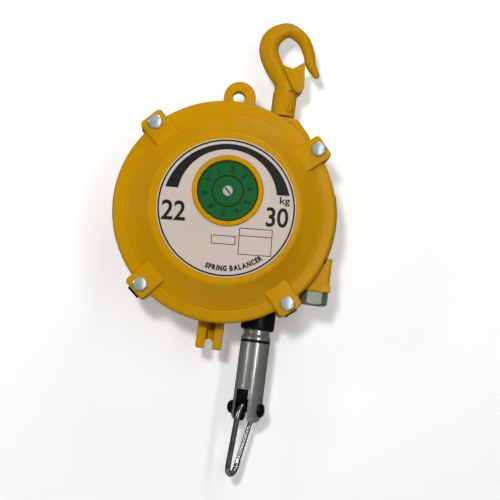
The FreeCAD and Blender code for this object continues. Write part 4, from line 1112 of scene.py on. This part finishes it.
    def shoulder(self) -> Solid:
        """The shoulder that carries the hook.

        Returns:
            The solid.
        """
        outline = [(19, 103.5), (33.5, 88), (66.5, 88), (76.35, 76.4), (85.65, 76.4), (82.1, 97.8),
                   (65.5, 116), (34.5, 116)]
        block = Solid().prism(outline, -15.5, 15.5)
        block.round(4.0, lambda edge: upright(edge) and edge.verts[0].co.y > 97, 5)
        block.round(2.6, lambda edge: is_sharp(edge) and not upright(edge), 4)
        bore = Solid().rod(10.0, (50.0, 100.0, 0.0), 20.0, Axis.Y)
        return block.carve(bore)

    def eye(self) -> Solid:
        """The ring for a safety chain.

        Returns:
            The solid.
        """
        outline = [(17.9, 108.0), *arc((0.8, 128.6), 17.1, 0, 180, 24), (-16.3, 108.0)]
        block = Solid().prism(outline, 12.0, 24.0)
        block.round(2.0, lambda edge: is_sharp(edge) and not upright(edge), 3)
        bore = Solid().rod(6.6, (0, 128, 10), 16.0)
        flare = Solid().rod(6.6, (0, 128, 22.8), 2.0, tip=8.6)
        return block.carve(bore, flare)

    def fork(self) -> Solid:
        """The two-pronged lug under the case.

        Returns:
            The solid.
        """
        block = Solid().block((-11.5, -144.0, -2.0), (16.5, -108.0, 20.0)).round(2.0)
        slot = Solid().block((-2.0, -146.0, 6.0), (7.0, -100.0, 22.0))
        arch = Solid().block((-2.0, -146.0, -4.0), (7.0, -137.7, 22.0))
        top = Solid().rod(4.5, (2.5, -137.7, -4.0), 26.0)
        return block.carve(slot, arch, top)

    def worm_housing(self) -> Solid:
        """The upright housing of the worm beside the rim, with a lip round its foot.

        Returns:
            The solid.
        """
        column = Solid().block((91.0, -70.0, 14.5), (120.0, 42.0, 43.5))
        column.round(4.5, lambda edge: is_sharp(edge)
                     and abs(edge.verts[0].co.y - edge.verts[1].co.y) > 50, 5)
        foot = Solid().block((80.0, -80.0, 0.0), (130.0, -34.0, 60.0))
        crown = Solid().rod(119.2, (0, 0, 0), 60.0, level=Level.FINE)
        upper = Solid().block((91.0, -40.0, 14.5), (121.0, 34.0, 43.5)).carve(crown, keep=True)
        upper.round(1.6, lambda edge: is_sharp(edge) and all(v.co.y > 33 for v in edge.verts))
        column.carve(foot, keep=True)
        column.add(upper)
        lip = Solid().block((89.8, -70.0, 13.3), (121.2, -62.0, 43.9)).round(1.2)
        bore = Solid().rod(12.4, (105.5, -72.0, 29.0), 30.0, Axis.Y)
        return column.carve(bore).add(lip.carve(bore))


@dataclass
class Fastenings:
    """The bolts, washers and nuts of the cover and the main shaft's nut."""

    seat: float = 62.5
    washer_radius: float = 7.4
    washer_height: float = 2.0
    flats: float = 13.0
    head: float = 5.3
    thread: float = 4.0

    def build(self) -> None:
        """Builds every fastening."""
        bolts, washers, nuts = Solid(), Solid(), Solid()
        for index, angle in enumerate(LUG_ANGLES):
            at = on_bolt_circle(angle)
            spot = Matrix.Translation(at) @ about_z(11.0 + 23.0 * index)
            head = hex_head(self.flats, self.head).place(
                Matrix.Translation((0, 0, self.seat + self.washer_height)))
            head.add(Solid().rod(self.thread, (0, 0, 31.5), 33.0, level=Level.TINY))
            bolts.add(head.place(spot))
            radius, low, high = self.washer_radius, self.seat, self.seat + self.washer_height
            washer = Solid().lathe([
                (self.thread, low), (radius, low), (radius, high - 0.5), (radius - 0.5, high),
                (self.thread, high)], level=Level.SMALL, closed=True)
            washers.add(washer.place(Matrix.Translation(at)))
            nut = Solid().block((-7.3, 108.0, 33.8), (7.3, 128.2, 40.2)).round(0.5, segments=2)
            nuts.add(nut.place(about_z(-angle)))
        show("hex_bolts", bolts, Finishes.zinc, "housing", ["cover_bolts"], HOUSING)
        show("round_washers", washers, Finishes.washer_zinc, "housing", ["cover_washers"], HOUSING)
        show("square_nuts", nuts, Finishes.black_oxide, "housing", ["cover_nuts"], HOUSING)
        nut = hex_head(24.0, 9.0).place(Matrix.Translation((0, 0, -36.0)) @ Matrix.Rotation(math.pi, 4, "X"))
        show("shaft_hex_nut", nut, Finishes.zinc, "housing", ["shaft_nut"], HOUSING)
        washer = Solid().lathe([(8.1, -34.0), (18.0, -34.0), (18.0, -35.5), (17.5, -36.0), (8.1, -36.0)],
                               closed=True)
        show("shaft_plain_washer", washer, Finishes.washer_zinc, "housing", ["shaft_washer"], HOUSING)


def hex_head(flats: float, height: float) -> Solid:
    """A hexagon with its corners turned down at the top.

    Args:
        flats: The width across flats.
        height: Its height, from zero up.

    Returns:
        The solid.
    """
    corner = flats / math.sqrt(3)
    block = Solid()
    bmesh.ops.create_cone(block.bm, cap_ends=True, segments=6, radius1=corner, radius2=corner, depth=height,
                          matrix=Matrix.Translation((0, 0, height / 2)))
    cap = Solid().lathe([(0, -1), (corner * 1.1, -1), (corner * 1.1, height - corner * 0.16),
                         (flats * 0.46, height), (0, height)], level=Level.SMALL)
    return block.carve(cap, keep=True)


# --- Printed plate and dial ------------------------------------------------------------------------
def flat_ring(inner: float, outer: float, low: float, high: float) -> Solid:
    """A flat ring with square edges, about Z.

    Args:
        inner: Its inner radius.
        outer: Its outer radius.
        low: Its lower height.
        high: Its upper height.

    Returns:
        The solid.
    """
    return Solid().lathe([(inner, low), (outer, low), (outer, high), (inner, high)], level=Level.FINE,
                         closed=True)


@dataclass
class FacePlate:
    """The printed plate on the cover's face, drawn about the housing's axis."""

    tilt: float = 3.3
    radius: float = 71.6
    low: float = 78.0
    high: float = 78.5
    hole: float = 36.9
    line: float = 0.75
    shift: Point = (0.9, 0.5)

    def build(self) -> None:
        """Builds the plate and everything printed on it."""
        plate = Solid()
        centre = (0.0, DIAL_RISE)
        rings = [plate.loop(self.radius, self.low, self.shift),
                 plate.loop(self.radius, self.high, self.shift),
                 plate.loop(self.hole, self.high, centre), plate.loop(self.hole, self.low, centre)]
        for first, second in zip(rings, rings[1:] + rings[:1]):
            plate.bridge(first, second)
        show("face_plate", plate.tidy(), Finishes.foil, "housing", ["label_plate"], HOUSING)
        tilted = HOUSING @ about_z(self.tilt) @ Matrix.Translation((*self.shift, self.high))
        for name, print_made in (("plate_border", self.border()), ("load_figures", self.figures()),
                               ("data_boxes", self.boxes()),
                               ("kind_words", self.words("SPRING BALANCER", 62.3, -15.9, 39.4, 5.9))):
            show(name, print_made, Finishes.ink, "housing", [], tilted)

    def border(self) -> Solid:
        """The thin ring at the edge and the crescent that spans the two figures.

        Returns:
            The solid.
        """
        ring = flat_ring(68.8, 70.5, 0, PRINT_HEIGHT)
        crescent = Solid().rod(66.0, (0, 0, 0), PRINT_HEIGHT, level=Level.FINE)
        crescent.carve(Solid().rod(51.2, (0, 9.0, -1), 2.0, level=Level.FINE),
                       Solid().block((-80, -80, -1), (80, 16.8, 1)))
        return ring.add(crescent)

    def figures(self) -> Solid:
        """The lowest and highest load in kilograms.

        Returns:
            The solid.
        """
        rows = (("22", 20.6, (-53.7, -6.6), 0.9), ("30", 20.4, (52.6, -6.2), 0.88),
                ("kg", 9.6, (59.4, 10.6), 1.2))
        made = Solid()
        for text, height, at, narrow in rows:
            place = Matrix.Translation((*at, 0)) @ Matrix.Diagonal((narrow, 1, 1, 1))
            made.add(figure(text, height, 0.018).place(place))
        return made

    def boxes(self) -> Solid:
        """The empty boxes under the dial.

        Returns:
            The solid.
        """
        left, right, divide = 14.8, 49.0, -27.9
        made = Solid()
        for low, high in (((left, -47.0), (right, -19.4)), ((-13.3, -37.8), (11.7, -28.6))):
            made.add(self.frame_of(low, high))
        return made.block((left, divide, 0), (right, divide + self.line, PRINT_HEIGHT))

    def frame_of(self, low: Point, high: Point) -> Solid:
        """A rectangle drawn as a line.

        Args:
            low: Its lower left corner.
            high: Its upper right corner.

        Returns:
            The solid.
        """
        line = self.line
        inside = Solid().block((low[0] + line, low[1] + line, -1), (high[0] - line, high[1] - line, 1))
        return Solid().block((*low, 0), (*high, PRINT_HEIGHT)).carve(inside)

    def words(self, text: str, radius: float, start: float, end: float, height: float) -> Solid:
        """Words that follow the plate's lower edge and read from left to right.

        Args:
            text: The words.
            radius: The radius of the letters' middle.
            start: The angle of the first letter's left side, in degrees right of straight down.
            end: The angle of the last letter's right side.
            height: The letters' height.

        Returns:
            The solid.
        """
        slim = Matrix.Diagonal((0.8, 1, 1, 1))
        letters = [None if letter == " " else figure(letter, height, 0.06).place(slim) for letter in text]
        widths = [height * 0.3 if letter is None else width_of(letter) for letter in letters]
        length = math.radians(end - start) * radius
        gap = (length - sum(widths)) / (len(widths) - 1)
        made = Solid()
        along = 0.0
        for letter, width in zip(letters, widths):
            angle = start + math.degrees((along + width / 2) / radius)
            if letter is not None:
                made.add(letter.place(about_z(angle) @ Matrix.Translation((0, -radius, 0))))
            along += width + gap
        return made


@dataclass
class Dial:
    """The green dial behind the window, in the housing's frame but centred on itself."""

    radius: float = 30.8
    back: float = 74.0
    front: float = 77.0
    groove: float = 15.9
    figure_radius: float = 23.0
    figure_height: float = 6.4
    first_angle: float = 4.8
    screw: float = 5.4
    slot_angle: float = -43.0

    def build(self) -> None:
        """Builds the disc, its figures with their painted shade, and its screw."""
        at = HOUSING @ Matrix.Translation((0, DIAL_RISE, 0))
        front, groove = self.front, self.groove
        disc = Solid().lathe([
            (0, self.back), (self.radius, self.back), (self.radius, front - 0.5), (self.radius - 0.5, front),
            (groove + 0.7, front), (groove + 0.35, front - 0.7), (groove - 0.35, front - 0.7),
            (groove - 0.7, front), (self.screw + 1.1, front + 0.25), (self.screw + 1.1, front - 0.6),
            (0, front - 0.6)], level=Level.FINE)
        show("green_disc", disc, Finishes.dial_green, "dial", ["dial_disc"], at)
        show("dial_figures_and_painted_shade", self.figures(), Finishes.figure_ink_and_painted_shade, "dial", [], at)
        screw = Solid().lathe([(0, front - 0.8), (self.screw, front - 0.8), (self.screw, front + 1.5),
                               (self.screw - 0.6, front + 2.1), (0, front + 2.2)], level=Level.SMALL)
        slot = Solid().block((-8, -0.75, front + 0.6), (8, 0.75, front + 4))
        slot.place(about_z(self.slot_angle))
        show("slotted_screw", screw.carve(slot), Finishes.zinc, "dial", ["dial_screw"], at)

    def figures(self) -> Solid:
        """The ten figures, with painted shade: a dark ring over the groove, a dark ring at the disc's edge
        and a dark sheet in the screw's slot.

        Returns:
            The solid.
        """
        front, groove = self.front, self.groove
        # Painted shade: a dark ring over the groove and a dark ring round the disc's edge, where the bezel
        # shades it
        made = flat_ring(groove - 0.9, groove + 0.9, front - 0.6, front + 0.05)
        made.add(flat_ring(self.radius - 0.7, self.radius + 0.06, front - 0.3, front + 0.05))
        # Painted shade: a dark sheet in the screw's slot
        slot = Solid().block((-4.6, -0.6, front + 0.6), (4.6, 0.6, front + 0.85))
        made.add(slot.place(about_z(self.slot_angle)))
        for number in range(10):
            digit = figure(str((number + 2) % 10), self.figure_height, 0.03)
            turn = about_z(-self.first_angle - 36.0 * number)
            made.add(digit.place(turn @ Matrix.Translation((0, self.figure_radius, front))))
        return made


# --- Worm ------------------------------------------------------------------------------------------
@dataclass
class Worm:
    """The worm whose hexagon stands out under its housing; z runs up from the shaft's height."""

    place_x: float = 55.5
    place_y: float = -29.0
    pitch: float = math.pi * 192.0 / 64.0
    turns: int = 4
    root: float = 6.7
    tip: float = 11.9

    def build(self) -> None:
        """Builds the worm with its journals, thread and hexagon."""
        core = Solid().lathe([
            (0, -78), (8, -78), (8, -56), (self.root, -56), (self.root, 29.5), (6, 29.5), (6, 37),
            (5.5, 37.5),
            (0, 37.5)], level=Level.SMALL)
        thread = Solid()
        low = -self.pitch * self.turns / 2
        corners = [(self.root - 0.5, low - 2.65), (self.tip, low - 0.85), (self.tip, low + 0.85),
                   (self.root - 0.5, low + 2.65)]
        face = thread.bm.faces.new([thread.bm.verts.new((x, 0, z)) for x, z in corners])
        bmesh.ops.spin(thread.bm, geom=[face], cent=(0, 0, 0), axis=(0, 0, 1),
                       dvec=(0, 0, self.pitch / Level.SMALL.value), angle=2 * math.pi * self.turns,
                       steps=Level.SMALL.value * self.turns, use_merge=False, use_duplicate=False)
        down = Matrix.Translation((0, 0, -70.5)) @ Matrix.Rotation(math.pi, 4, "X") @ about_z(30.0)
        core.add(thread.tidy(), hex_head(27.0, 13.6).place(down))
        show("worm_screw", core, Finishes.head_zinc, "worm", ["worm"],
             Matrix.Translation((self.place_x, self.place_y, SHAFT_Z)))


# --- Rope end --------------------------------------------------------------------------------------
@dataclass
class RopeEnd:
    """Everything that hangs on the rope above the snap hook; heights are from the shaft."""

    top: float = -90.5
    buffer_radius: float = 18.2
    body_radius: float = 15.9
    swivel_top: float = -130.8
    swivel_foot: float = -215.5
    slot_half: float = 7.6
    slot_top: float = -181.5
    pin_height: float = -202.0
    turn: float = -30.0
    bore: float = 2.4
    neck: float = 8.1
    buffer_foot: float = -117.5
    pin_radius: float = 4.0

    def build(self) -> None:
        """Builds the rope, buffer, socket, seal, clevis and pin."""
        at = Matrix.Translation((ROPE_X, 0, SHAFT_Z))
        turned = at @ about_z(self.turn)
        self.rope(at)
        buffer = Solid().lathe([
            (self.bore, self.top), (17.0, self.top), (self.buffer_radius, self.top - 1.2),
            *reversed(arc((self.buffer_radius - 3.2, self.buffer_foot + 3.2), 3.2, -90, 0, 6)),
            (self.bore, self.buffer_foot)], closed=True)
        show("buffer_sleeve", buffer, Finishes.rubber, "rope_end", ["rubber_buffer"], at)
        socket = Solid().lathe([
            (self.bore, self.buffer_foot), (14.0, self.buffer_foot), (14.0, -122.6), (14.3, -123.0),
            (self.body_radius, -125.2), (self.body_radius, -127.7), (15.6, -128.0), (8.0, -128.0),
            (8.0, -143.0), (11.0, -143.0), (11.0, -149.5), (10.5, -150.0), (4.8, -150.0), (4.8, -128.5),
            (self.bore, -128.5)], closed=True)
        show("socket_collar", socket, Finishes.nickel, "rope_end", ["rope_socket"], at)
        seal = Solid().lathe([(self.neck, -128.05), (15.7, -128.05), (15.7, self.swivel_top),
                              (self.neck, self.swivel_top)], closed=True)
        show("seal_ring", seal, Finishes.black_plastic, "swivel", ["swivel_seal"], at)
        barrel = show("swivel_barrel", self.clevis(), Finishes.nickel, "swivel", ["swivel_clevis"], turned)
        # Painted shade: the faces inside the slot, below its top, take the dark finish
        barrel.data.materials.append(Finishes.inside.build())
        edge = self.slot_half * MM + 0.0002
        for face in barrel.data.polygons:
            middle = turned.to_3x3().inverted() @ (face.center - Vector((ROPE_X * MM, 0, 0)))
            below = face.center.z < (self.slot_top + SHAFT_Z + 0.1) * MM
            if below and abs(middle.x) < edge and math.hypot(middle.x, middle.y) < 0.0152:
                face.material_index = 1
        show("pin_heads", self.pin(), Finishes.black_oxide, "swivel", ["clevis_pin"],
             turned @ Matrix.Translation((0, 0, self.pin_height)))

    def rope(self, at: Matrix) -> None:
        """Builds the laid wire rope, whose top stays in the housing.

        Args:
            at: The place of the rope's line on the shaft's height.
        """
        steps = 90
        length = 149.0
        places = []
        for step in range(steps + 1):
            share = step / steps
            places.append(Matrix.Translation((0, 0, -length * share)) @ about_z(1100.0 * share)
                          @ Matrix.Diagonal((2.38, 2.38, 1, 1)))
        made = show("laid_rope", Solid().sweep(places, Level.SMALL, 6, 0.16), Finishes.rope_wire, "",
                    ["wire_rope"], at, 50.0)
        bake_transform(made)

    def clevis(self) -> Solid:
        """The swivel's body with its slot for the snap hook.

        Returns:
            The solid.
        """
        radius, top, foot = self.body_radius, self.swivel_top, self.swivel_foot
        body = Solid().lathe([
            (self.neck, top), (radius - 0.4, top), (radius, top - 0.4), (radius, foot + 6.0),
            (radius - 1.4, foot + 2.4), (radius - 4.5, foot), (0, foot), (0, -151.0), (12.0, -151.0),
            (12.0, top - 10.0), (self.neck, top - 10.0)])
        body.bridge(body.rim(self.neck, top), body.rim(self.neck, top - 10.0)).tidy()
        half = self.slot_half
        slot = Solid().block((-half, -30, foot - 5), (half, 30, self.slot_top)).round(
            0.8, lambda edge: is_sharp(edge) and all(v.co.z > self.slot_top - 0.1 for v in edge.verts), 2)
        return body.carve(slot)

    def pin(self) -> Solid:
        """The cross pin with one flat and one domed head.

        Returns:
            The solid.
        """
        bar = Solid().rod(self.pin_radius, (-16.2, 0, 0), 32.4, Axis.X)
        domed = [(7.3, 16.2), (7.3, 18.6), (6.7, 20.2), (5.3, 21.4), (3.0, 22.1), (0, 22.3)]
        flat = [(7.3, 16.2), (7.3, 17.4), (6.6, 18.3), (4.4, 18.8), (0, 18.9)]
        for side, crown in ((90, flat), (-90, domed)):
            head = Solid().lathe([(0, 15.6), (6.7, 15.6), *crown], level=Level.SMALL)
            bar.add(head.place(Matrix.Rotation(math.radians(side), 4, "Y")))
        return bar


@dataclass
class SnapHook:
    """The bent rod that carries the tool, with its hinged gate; x is across it and z is up."""

    top_bend: float = 17.0
    low_bend: float = 9.5
    span: float = 52.5
    rod: float = 3.0
    gate_rod: float = 2.5
    lean: float = 7.0
    turn: float = 60.0
    at: Place = (ROPE_X, 0.0, -408.0)
    top_z: float = field(init=False)
    slant: float = field(init=False)

    def __post_init__(self) -> None:
        """Works out the upper bend's centre and the slant of the two straight limbs."""
        self.top_z = 4.0 + 0.5 + self.rod - self.top_bend
        self.slant = math.asin((self.top_bend - self.low_bend) / self.span)

    def on_bend(self, centre_z: float, radius: float, angle: float) -> Vector:
        """A point on a bend, with its angle in radians from +x."""
        return Vector((radius * math.cos(angle), 0, centre_z + radius * math.sin(angle)))

    def build(self) -> None:
        """Builds the hook, its gate and the gate's pin."""
        place = (Matrix.Translation(self.at) @ Matrix.Rotation(math.radians(self.lean), 4, "Y")
                 @ about_z(self.turn))
        low_z = self.top_z - self.span
        nose = self.on_bend(self.top_z, self.top_bend, -self.slant)
        heel = self.on_bend(low_z, self.low_bend, -self.slant)
        up = (nose - heel).normalized()
        nose_end = nose - up * self.rod
        hinge = heel + up * self.rod * 1.5
        line = [nose_end, nose]
        top_steps, low_steps = 28, 22
        sweep = (math.pi + 2 * self.slant) / top_steps
        line += [self.on_bend(self.top_z, self.top_bend, -self.slant + sweep * step)
                 for step in range(1, top_steps + 1)]
        sweep = (math.pi - 2 * self.slant) / low_steps
        line += [self.on_bend(low_z, self.low_bend, math.pi + self.slant + sweep * step)
                 for step in range(low_steps + 1)]
        line += [heel + (hinge + up * self.rod - heel) * share for share in (0.5, 1.0)]
        slot = Solid().block((-6, -1.3, -3.6), (6, 1.3, 7))
        lean_to = Vector((0, 0, 1)).rotation_difference(up).to_matrix().to_4x4()
        frame_rod = Solid().sweep(rod_places(line, self.rod), Level.TINY)
        frame_rod.carve(slot.place(Matrix.Translation(hinge) @ lean_to))
        show("snap_frame", frame_rod, Finishes.bright, "snap", ["snap_hook"], place)
        length = (nose_end - hinge).length - 0.5
        start = hinge + up * self.rod * 1.4
        end = hinge + up * length
        gate = Solid().sweep(rod_places([start, (start + end) / 2, end], self.gate_rod), Level.TINY)
        blade = Solid().block((-2.0, -1.0, 0), (2.0, 1.0, 7.2)).place(Matrix.Translation(hinge) @ lean_to)
        eye = Solid().rod(2.0, hinge - Vector((0, 1.0, 0)), 2.0, Axis.Y, Level.TINY)
        show("gate_bar", gate.add(blade, eye), Finishes.bright, "gate", ["snap_gate"], place)
        pin = Solid().rod(1.2, hinge - Vector((0, 3.3, 0)), 6.6, Axis.Y, Level.TINY).round(0.3, segments=2)
        show("gate_rivet", pin, Finishes.steel, "snap", ["gate_pin"], place)


def rod_places(line: Sequence[Vector], radius: float) -> list[Matrix]:
    """Places for a round rod along a line in the XZ plane, with softly rounded ends.

    Args:
        line: The rod's points.
        radius: Its radius.

    Returns:
        A matrix for each section.
    """
    places = []
    for index, point in enumerate(line):
        ahead = (line[min(index + 1, len(line) - 1)] - line[max(index - 1, 0)]).normalized()
        side = Vector((ahead.z, 0, -ahead.x))
        turn = Matrix((side, ahead.cross(side), ahead)).transposed().to_4x4()
        places.append(Matrix.Translation(point) @ turn @ Matrix.Diagonal((radius, radius, 1, 1)))
    caps = [(Matrix.Diagonal((size, size, 1, 1)), radius * 0.3 * (out + 0.1))
            for size, out in ((0.72, 0.7), (0.97, 0.25))]
    first = [places[0] @ Matrix.Translation((0, 0, -away)) @ shrink for shrink, away in caps]
    last = [places[-1] @ Matrix.Translation((0, 0, away)) @ shrink for shrink, away in reversed(caps)]
    return first + places + last


# --- Works behind the castings ---------------------------------------------------------------------
INNER_FINISHES: dict[str, Finish] = {
    "hook_stud": Finishes.steel, "hook_top_washer": Finishes.black_oxide, "main_shaft": Finishes.steel,
    "worm_bush": Finishes.bronze, "rope_guide": Finishes.black_plastic, "hook_bush": Finishes.bronze,
    "hook_thrust_washer": Finishes.bronze, "rope_drum": Finishes.cast_alloy,
    "rear_drum_bearing": Finishes.steel,
    "front_drum_bearing": Finishes.steel, "rope_turns": Finishes.rope_wire, "worm_wheel": Finishes.cast_alloy,
    "wheel_bush": Finishes.bronze, "spring_case_lid": Finishes.steel, "mainspring": Finishes.spring_steel,
    "indicator_gear": Finishes.bronze, "dial_spindle": Finishes.bronze, "rope_ferrule": Finishes.steel,
    "swivel_bearing": Finishes.bronze,
}


def dress_inner_nodes() -> None:
    """Gives each CAD node that stays in view its finish."""
    for name, finish in INNER_FINISHES.items():
        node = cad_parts[name]
        node.data.materials.clear()
        node.data.materials.append(finish.build())
        log.info("%s: dressed", name)


# --- Studio ----------------------------------------------------------------------------------------
@dataclass
class Studio:
    """A pale floor, a pale backdrop, soft light and the camera."""

    target: Place = (-0.01615, 0.0, -0.23795)
    azimuth: float = -2.48
    elevation: float = -5.39
    roll: float = 7.44
    distance: float = 1.3
    lens: float = 86.16
    floor_height: float = -2.05
    floor_size: float = 6.0
    wall_depth: float = 0.05
    wall_size: float = 4.3
    pale_grey: float = 0.86
    glow: float = 0.23
    air_light: float = 0.08
    lamps: tuple[tuple[str, Place, Point, float, bool], ...] = (
        ("key", (-0.33, -1.7, 0.2), (0.16, 0.16), 16.0, False),
        ("strip", (0.46, -1.43, 0.16), (0.14, 1.3), 5.0, True),
        ("left", (-1.3, -0.95, 0.2), (0.16, 0.5), 2.8, True),
        ("top", (0.3, -0.6, 1.1), (0.5, 0.5), 3.6, True))

    def build(self) -> None:
        """Builds the whole studio."""
        self.surroundings()
        self.world()
        for name, at, size, power, mirrored in self.lamps:
            self.lamp(name, at, size, power, mirrored)
        self.camera()

    def pale(self, name: str, one_sided: bool) -> bpy.types.Material:
        """A pale matt surface that looks nearly white to the camera except where a shadow falls.

        Args:
            name: The material's name.
            one_sided: Whether it is clear from behind.

        Returns:
            The material.
        """
        material = bpy.data.materials.new(name)
        material.use_nodes = True
        wiring = Wiring(material.node_tree)
        paint = wiring.node("BsdfDiffuse", None, Color=(self.pale_grey,) * 3)
        glow = wiring.node("Emission", None, Color=(1.0, 1.0, 1.0))
        ray = wiring.node("LightPath")
        seen = wiring.node("Math", {"operation": "MULTIPLY"})
        wiring.feed(seen.inputs[0], ray.outputs["Is Camera Ray"])
        seen.inputs[1].default_value = self.glow
        wiring.feed(glow.inputs["Strength"], seen.outputs[0])
        both = wiring.node("AddShader")
        wiring.feed(both.inputs[0], paint.outputs[0])
        wiring.feed(both.inputs[1], glow.outputs[0])
        result = both.outputs[0]
        if one_sided:
            mix = wiring.node("MixShader")
            wiring.feed(mix.inputs[0], wiring.node("NewGeometry").outputs["Backfacing"])
            wiring.feed(mix.inputs[1], result)
            wiring.feed(mix.inputs[2], wiring.node("BsdfTransparent").outputs[0])
            result = mix.outputs[0]
        sink = material.node_tree.nodes.new("ShaderNodeOutputMaterial")
        wiring.feed(sink.inputs["Surface"], result)
        return material

    def surroundings(self) -> None:
        """Lays the floor and hangs the backdrop."""
        floor = self.plane("studio_floor", self.floor_size, Matrix.Translation((0, 0, self.floor_height)),
                           self.pale("floor_paint", False))
        standing = (Matrix.Translation((0, self.wall_depth, 0))
                    @ Matrix.Rotation(math.radians(90), 4, "X"))
        wall = self.plane("studio_backdrop", self.wall_size, standing, self.pale("backdrop_paint", True))
        wall.visible_glossy = False

    def plane(self, name: str, size: float, place: Matrix, material: bpy.types.Material) -> bpy.types.Object:
        """A flat square of the studio.

        Args:
            name: Its name.
            size: Its side in metres.
            place: Where it lies.
            material: Its material.

        Returns:
            The object.
        """
        sheet = bmesh.new()
        bmesh.ops.create_grid(sheet, x_segments=1, y_segments=1, size=size / 2, matrix=place)
        mesh = bpy.data.meshes.new(name)
        sheet.to_mesh(mesh)
        sheet.free()
        mesh.materials.append(material)
        made = bpy.data.objects.new(name, mesh)
        bpy.context.scene.collection.objects.link(made)
        return made

    def world(self) -> None:
        """White to the camera and through clear parts, and a dim plain grey to every other ray."""
        world = bpy.data.worlds.new("studio_air")
        bpy.context.scene.world = world
        world.use_nodes = True
        wiring = Wiring(world.node_tree)
        ray = wiring.node("LightPath")
        seen = wiring.node("Math", {"operation": "MAXIMUM"})
        wiring.feed(seen.inputs[0], ray.outputs["Is Camera Ray"])
        wiring.feed(seen.inputs[1], ray.outputs["Is Transmission Ray"])
        strength = wiring.ramp(seen.outputs[0], 0.0, 1.0, self.air_light, 1.0)
        air = wiring.node("Background", None, Color=(1.0, 1.0, 1.0))
        wiring.feed(air.inputs["Strength"], strength)
        sink = world.node_tree.nodes.new("ShaderNodeOutputWorld")
        wiring.feed(sink.inputs["Surface"], air.outputs[0])

    def lamp(self, name: str, at: Place, size: Point, power: float, mirrored: bool) -> None:
        """A soft light that faces the balancer.

        Args:
            name: Its name.
            at: Where it stands from the target.
            size: Its width and height in metres.
            power: Its power in watts.
            mirrored: Whether it shows in glossy surfaces.
        """
        light = bpy.data.lights.new(name, "AREA")
        light.shape = "RECTANGLE"
        light.size, light.size_y = size
        light.energy = power
        made = bpy.data.objects.new(name, light)
        made.matrix_world = Matrix.Translation(Vector(self.target) + Vector(at)) @ Vector(at).to_track_quat(
            "Z", "Y").to_matrix().to_4x4()
        made.visible_glossy = mirrored
        bpy.context.scene.collection.objects.link(made)

    def camera(self) -> None:
        """Sets up the camera in front of the dial, a little below it and rolled."""
        turn, rise, roll = (math.radians(angle) for angle in (self.azimuth, self.elevation, self.roll))
        back = Vector((math.sin(turn) * math.cos(rise), -math.cos(turn) * math.cos(rise), math.sin(rise)))
        right = Vector((0, 0, 1)).cross(back).normalized()
        up = back.cross(right)
        across = right * math.cos(roll) + up * math.sin(roll)
        upward = up * math.cos(roll) - right * math.sin(roll)
        data = bpy.data.cameras.new("camera")
        data.lens = self.lens
        data.sensor_width = 36.0
        made = bpy.data.objects.new("camera", data)
        facing = Matrix((across, upward, back)).transposed().to_4x4()
        made.matrix_world = Matrix.Translation(Vector(self.target) + back * self.distance) @ facing
        bpy.context.scene.collection.objects.link(made)
        bpy.context.scene.camera = made


def main() -> None:
    """Builds every piece in order."""
    logging.basicConfig(level=logging.INFO, format="%(name)s %(message)s")
    bpy.context.scene.view_settings.view_transform = "Standard"
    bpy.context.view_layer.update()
    for section in (TopHook(), Housing(), Fastenings(), FacePlate(), Dial(), Worm(), RopeEnd(), SnapHook()):
        log.info("building %s", type(section).__name__)
        section.build()
    dress_inner_nodes()
    Studio().build()


if __name__ == "__main__":
    main()
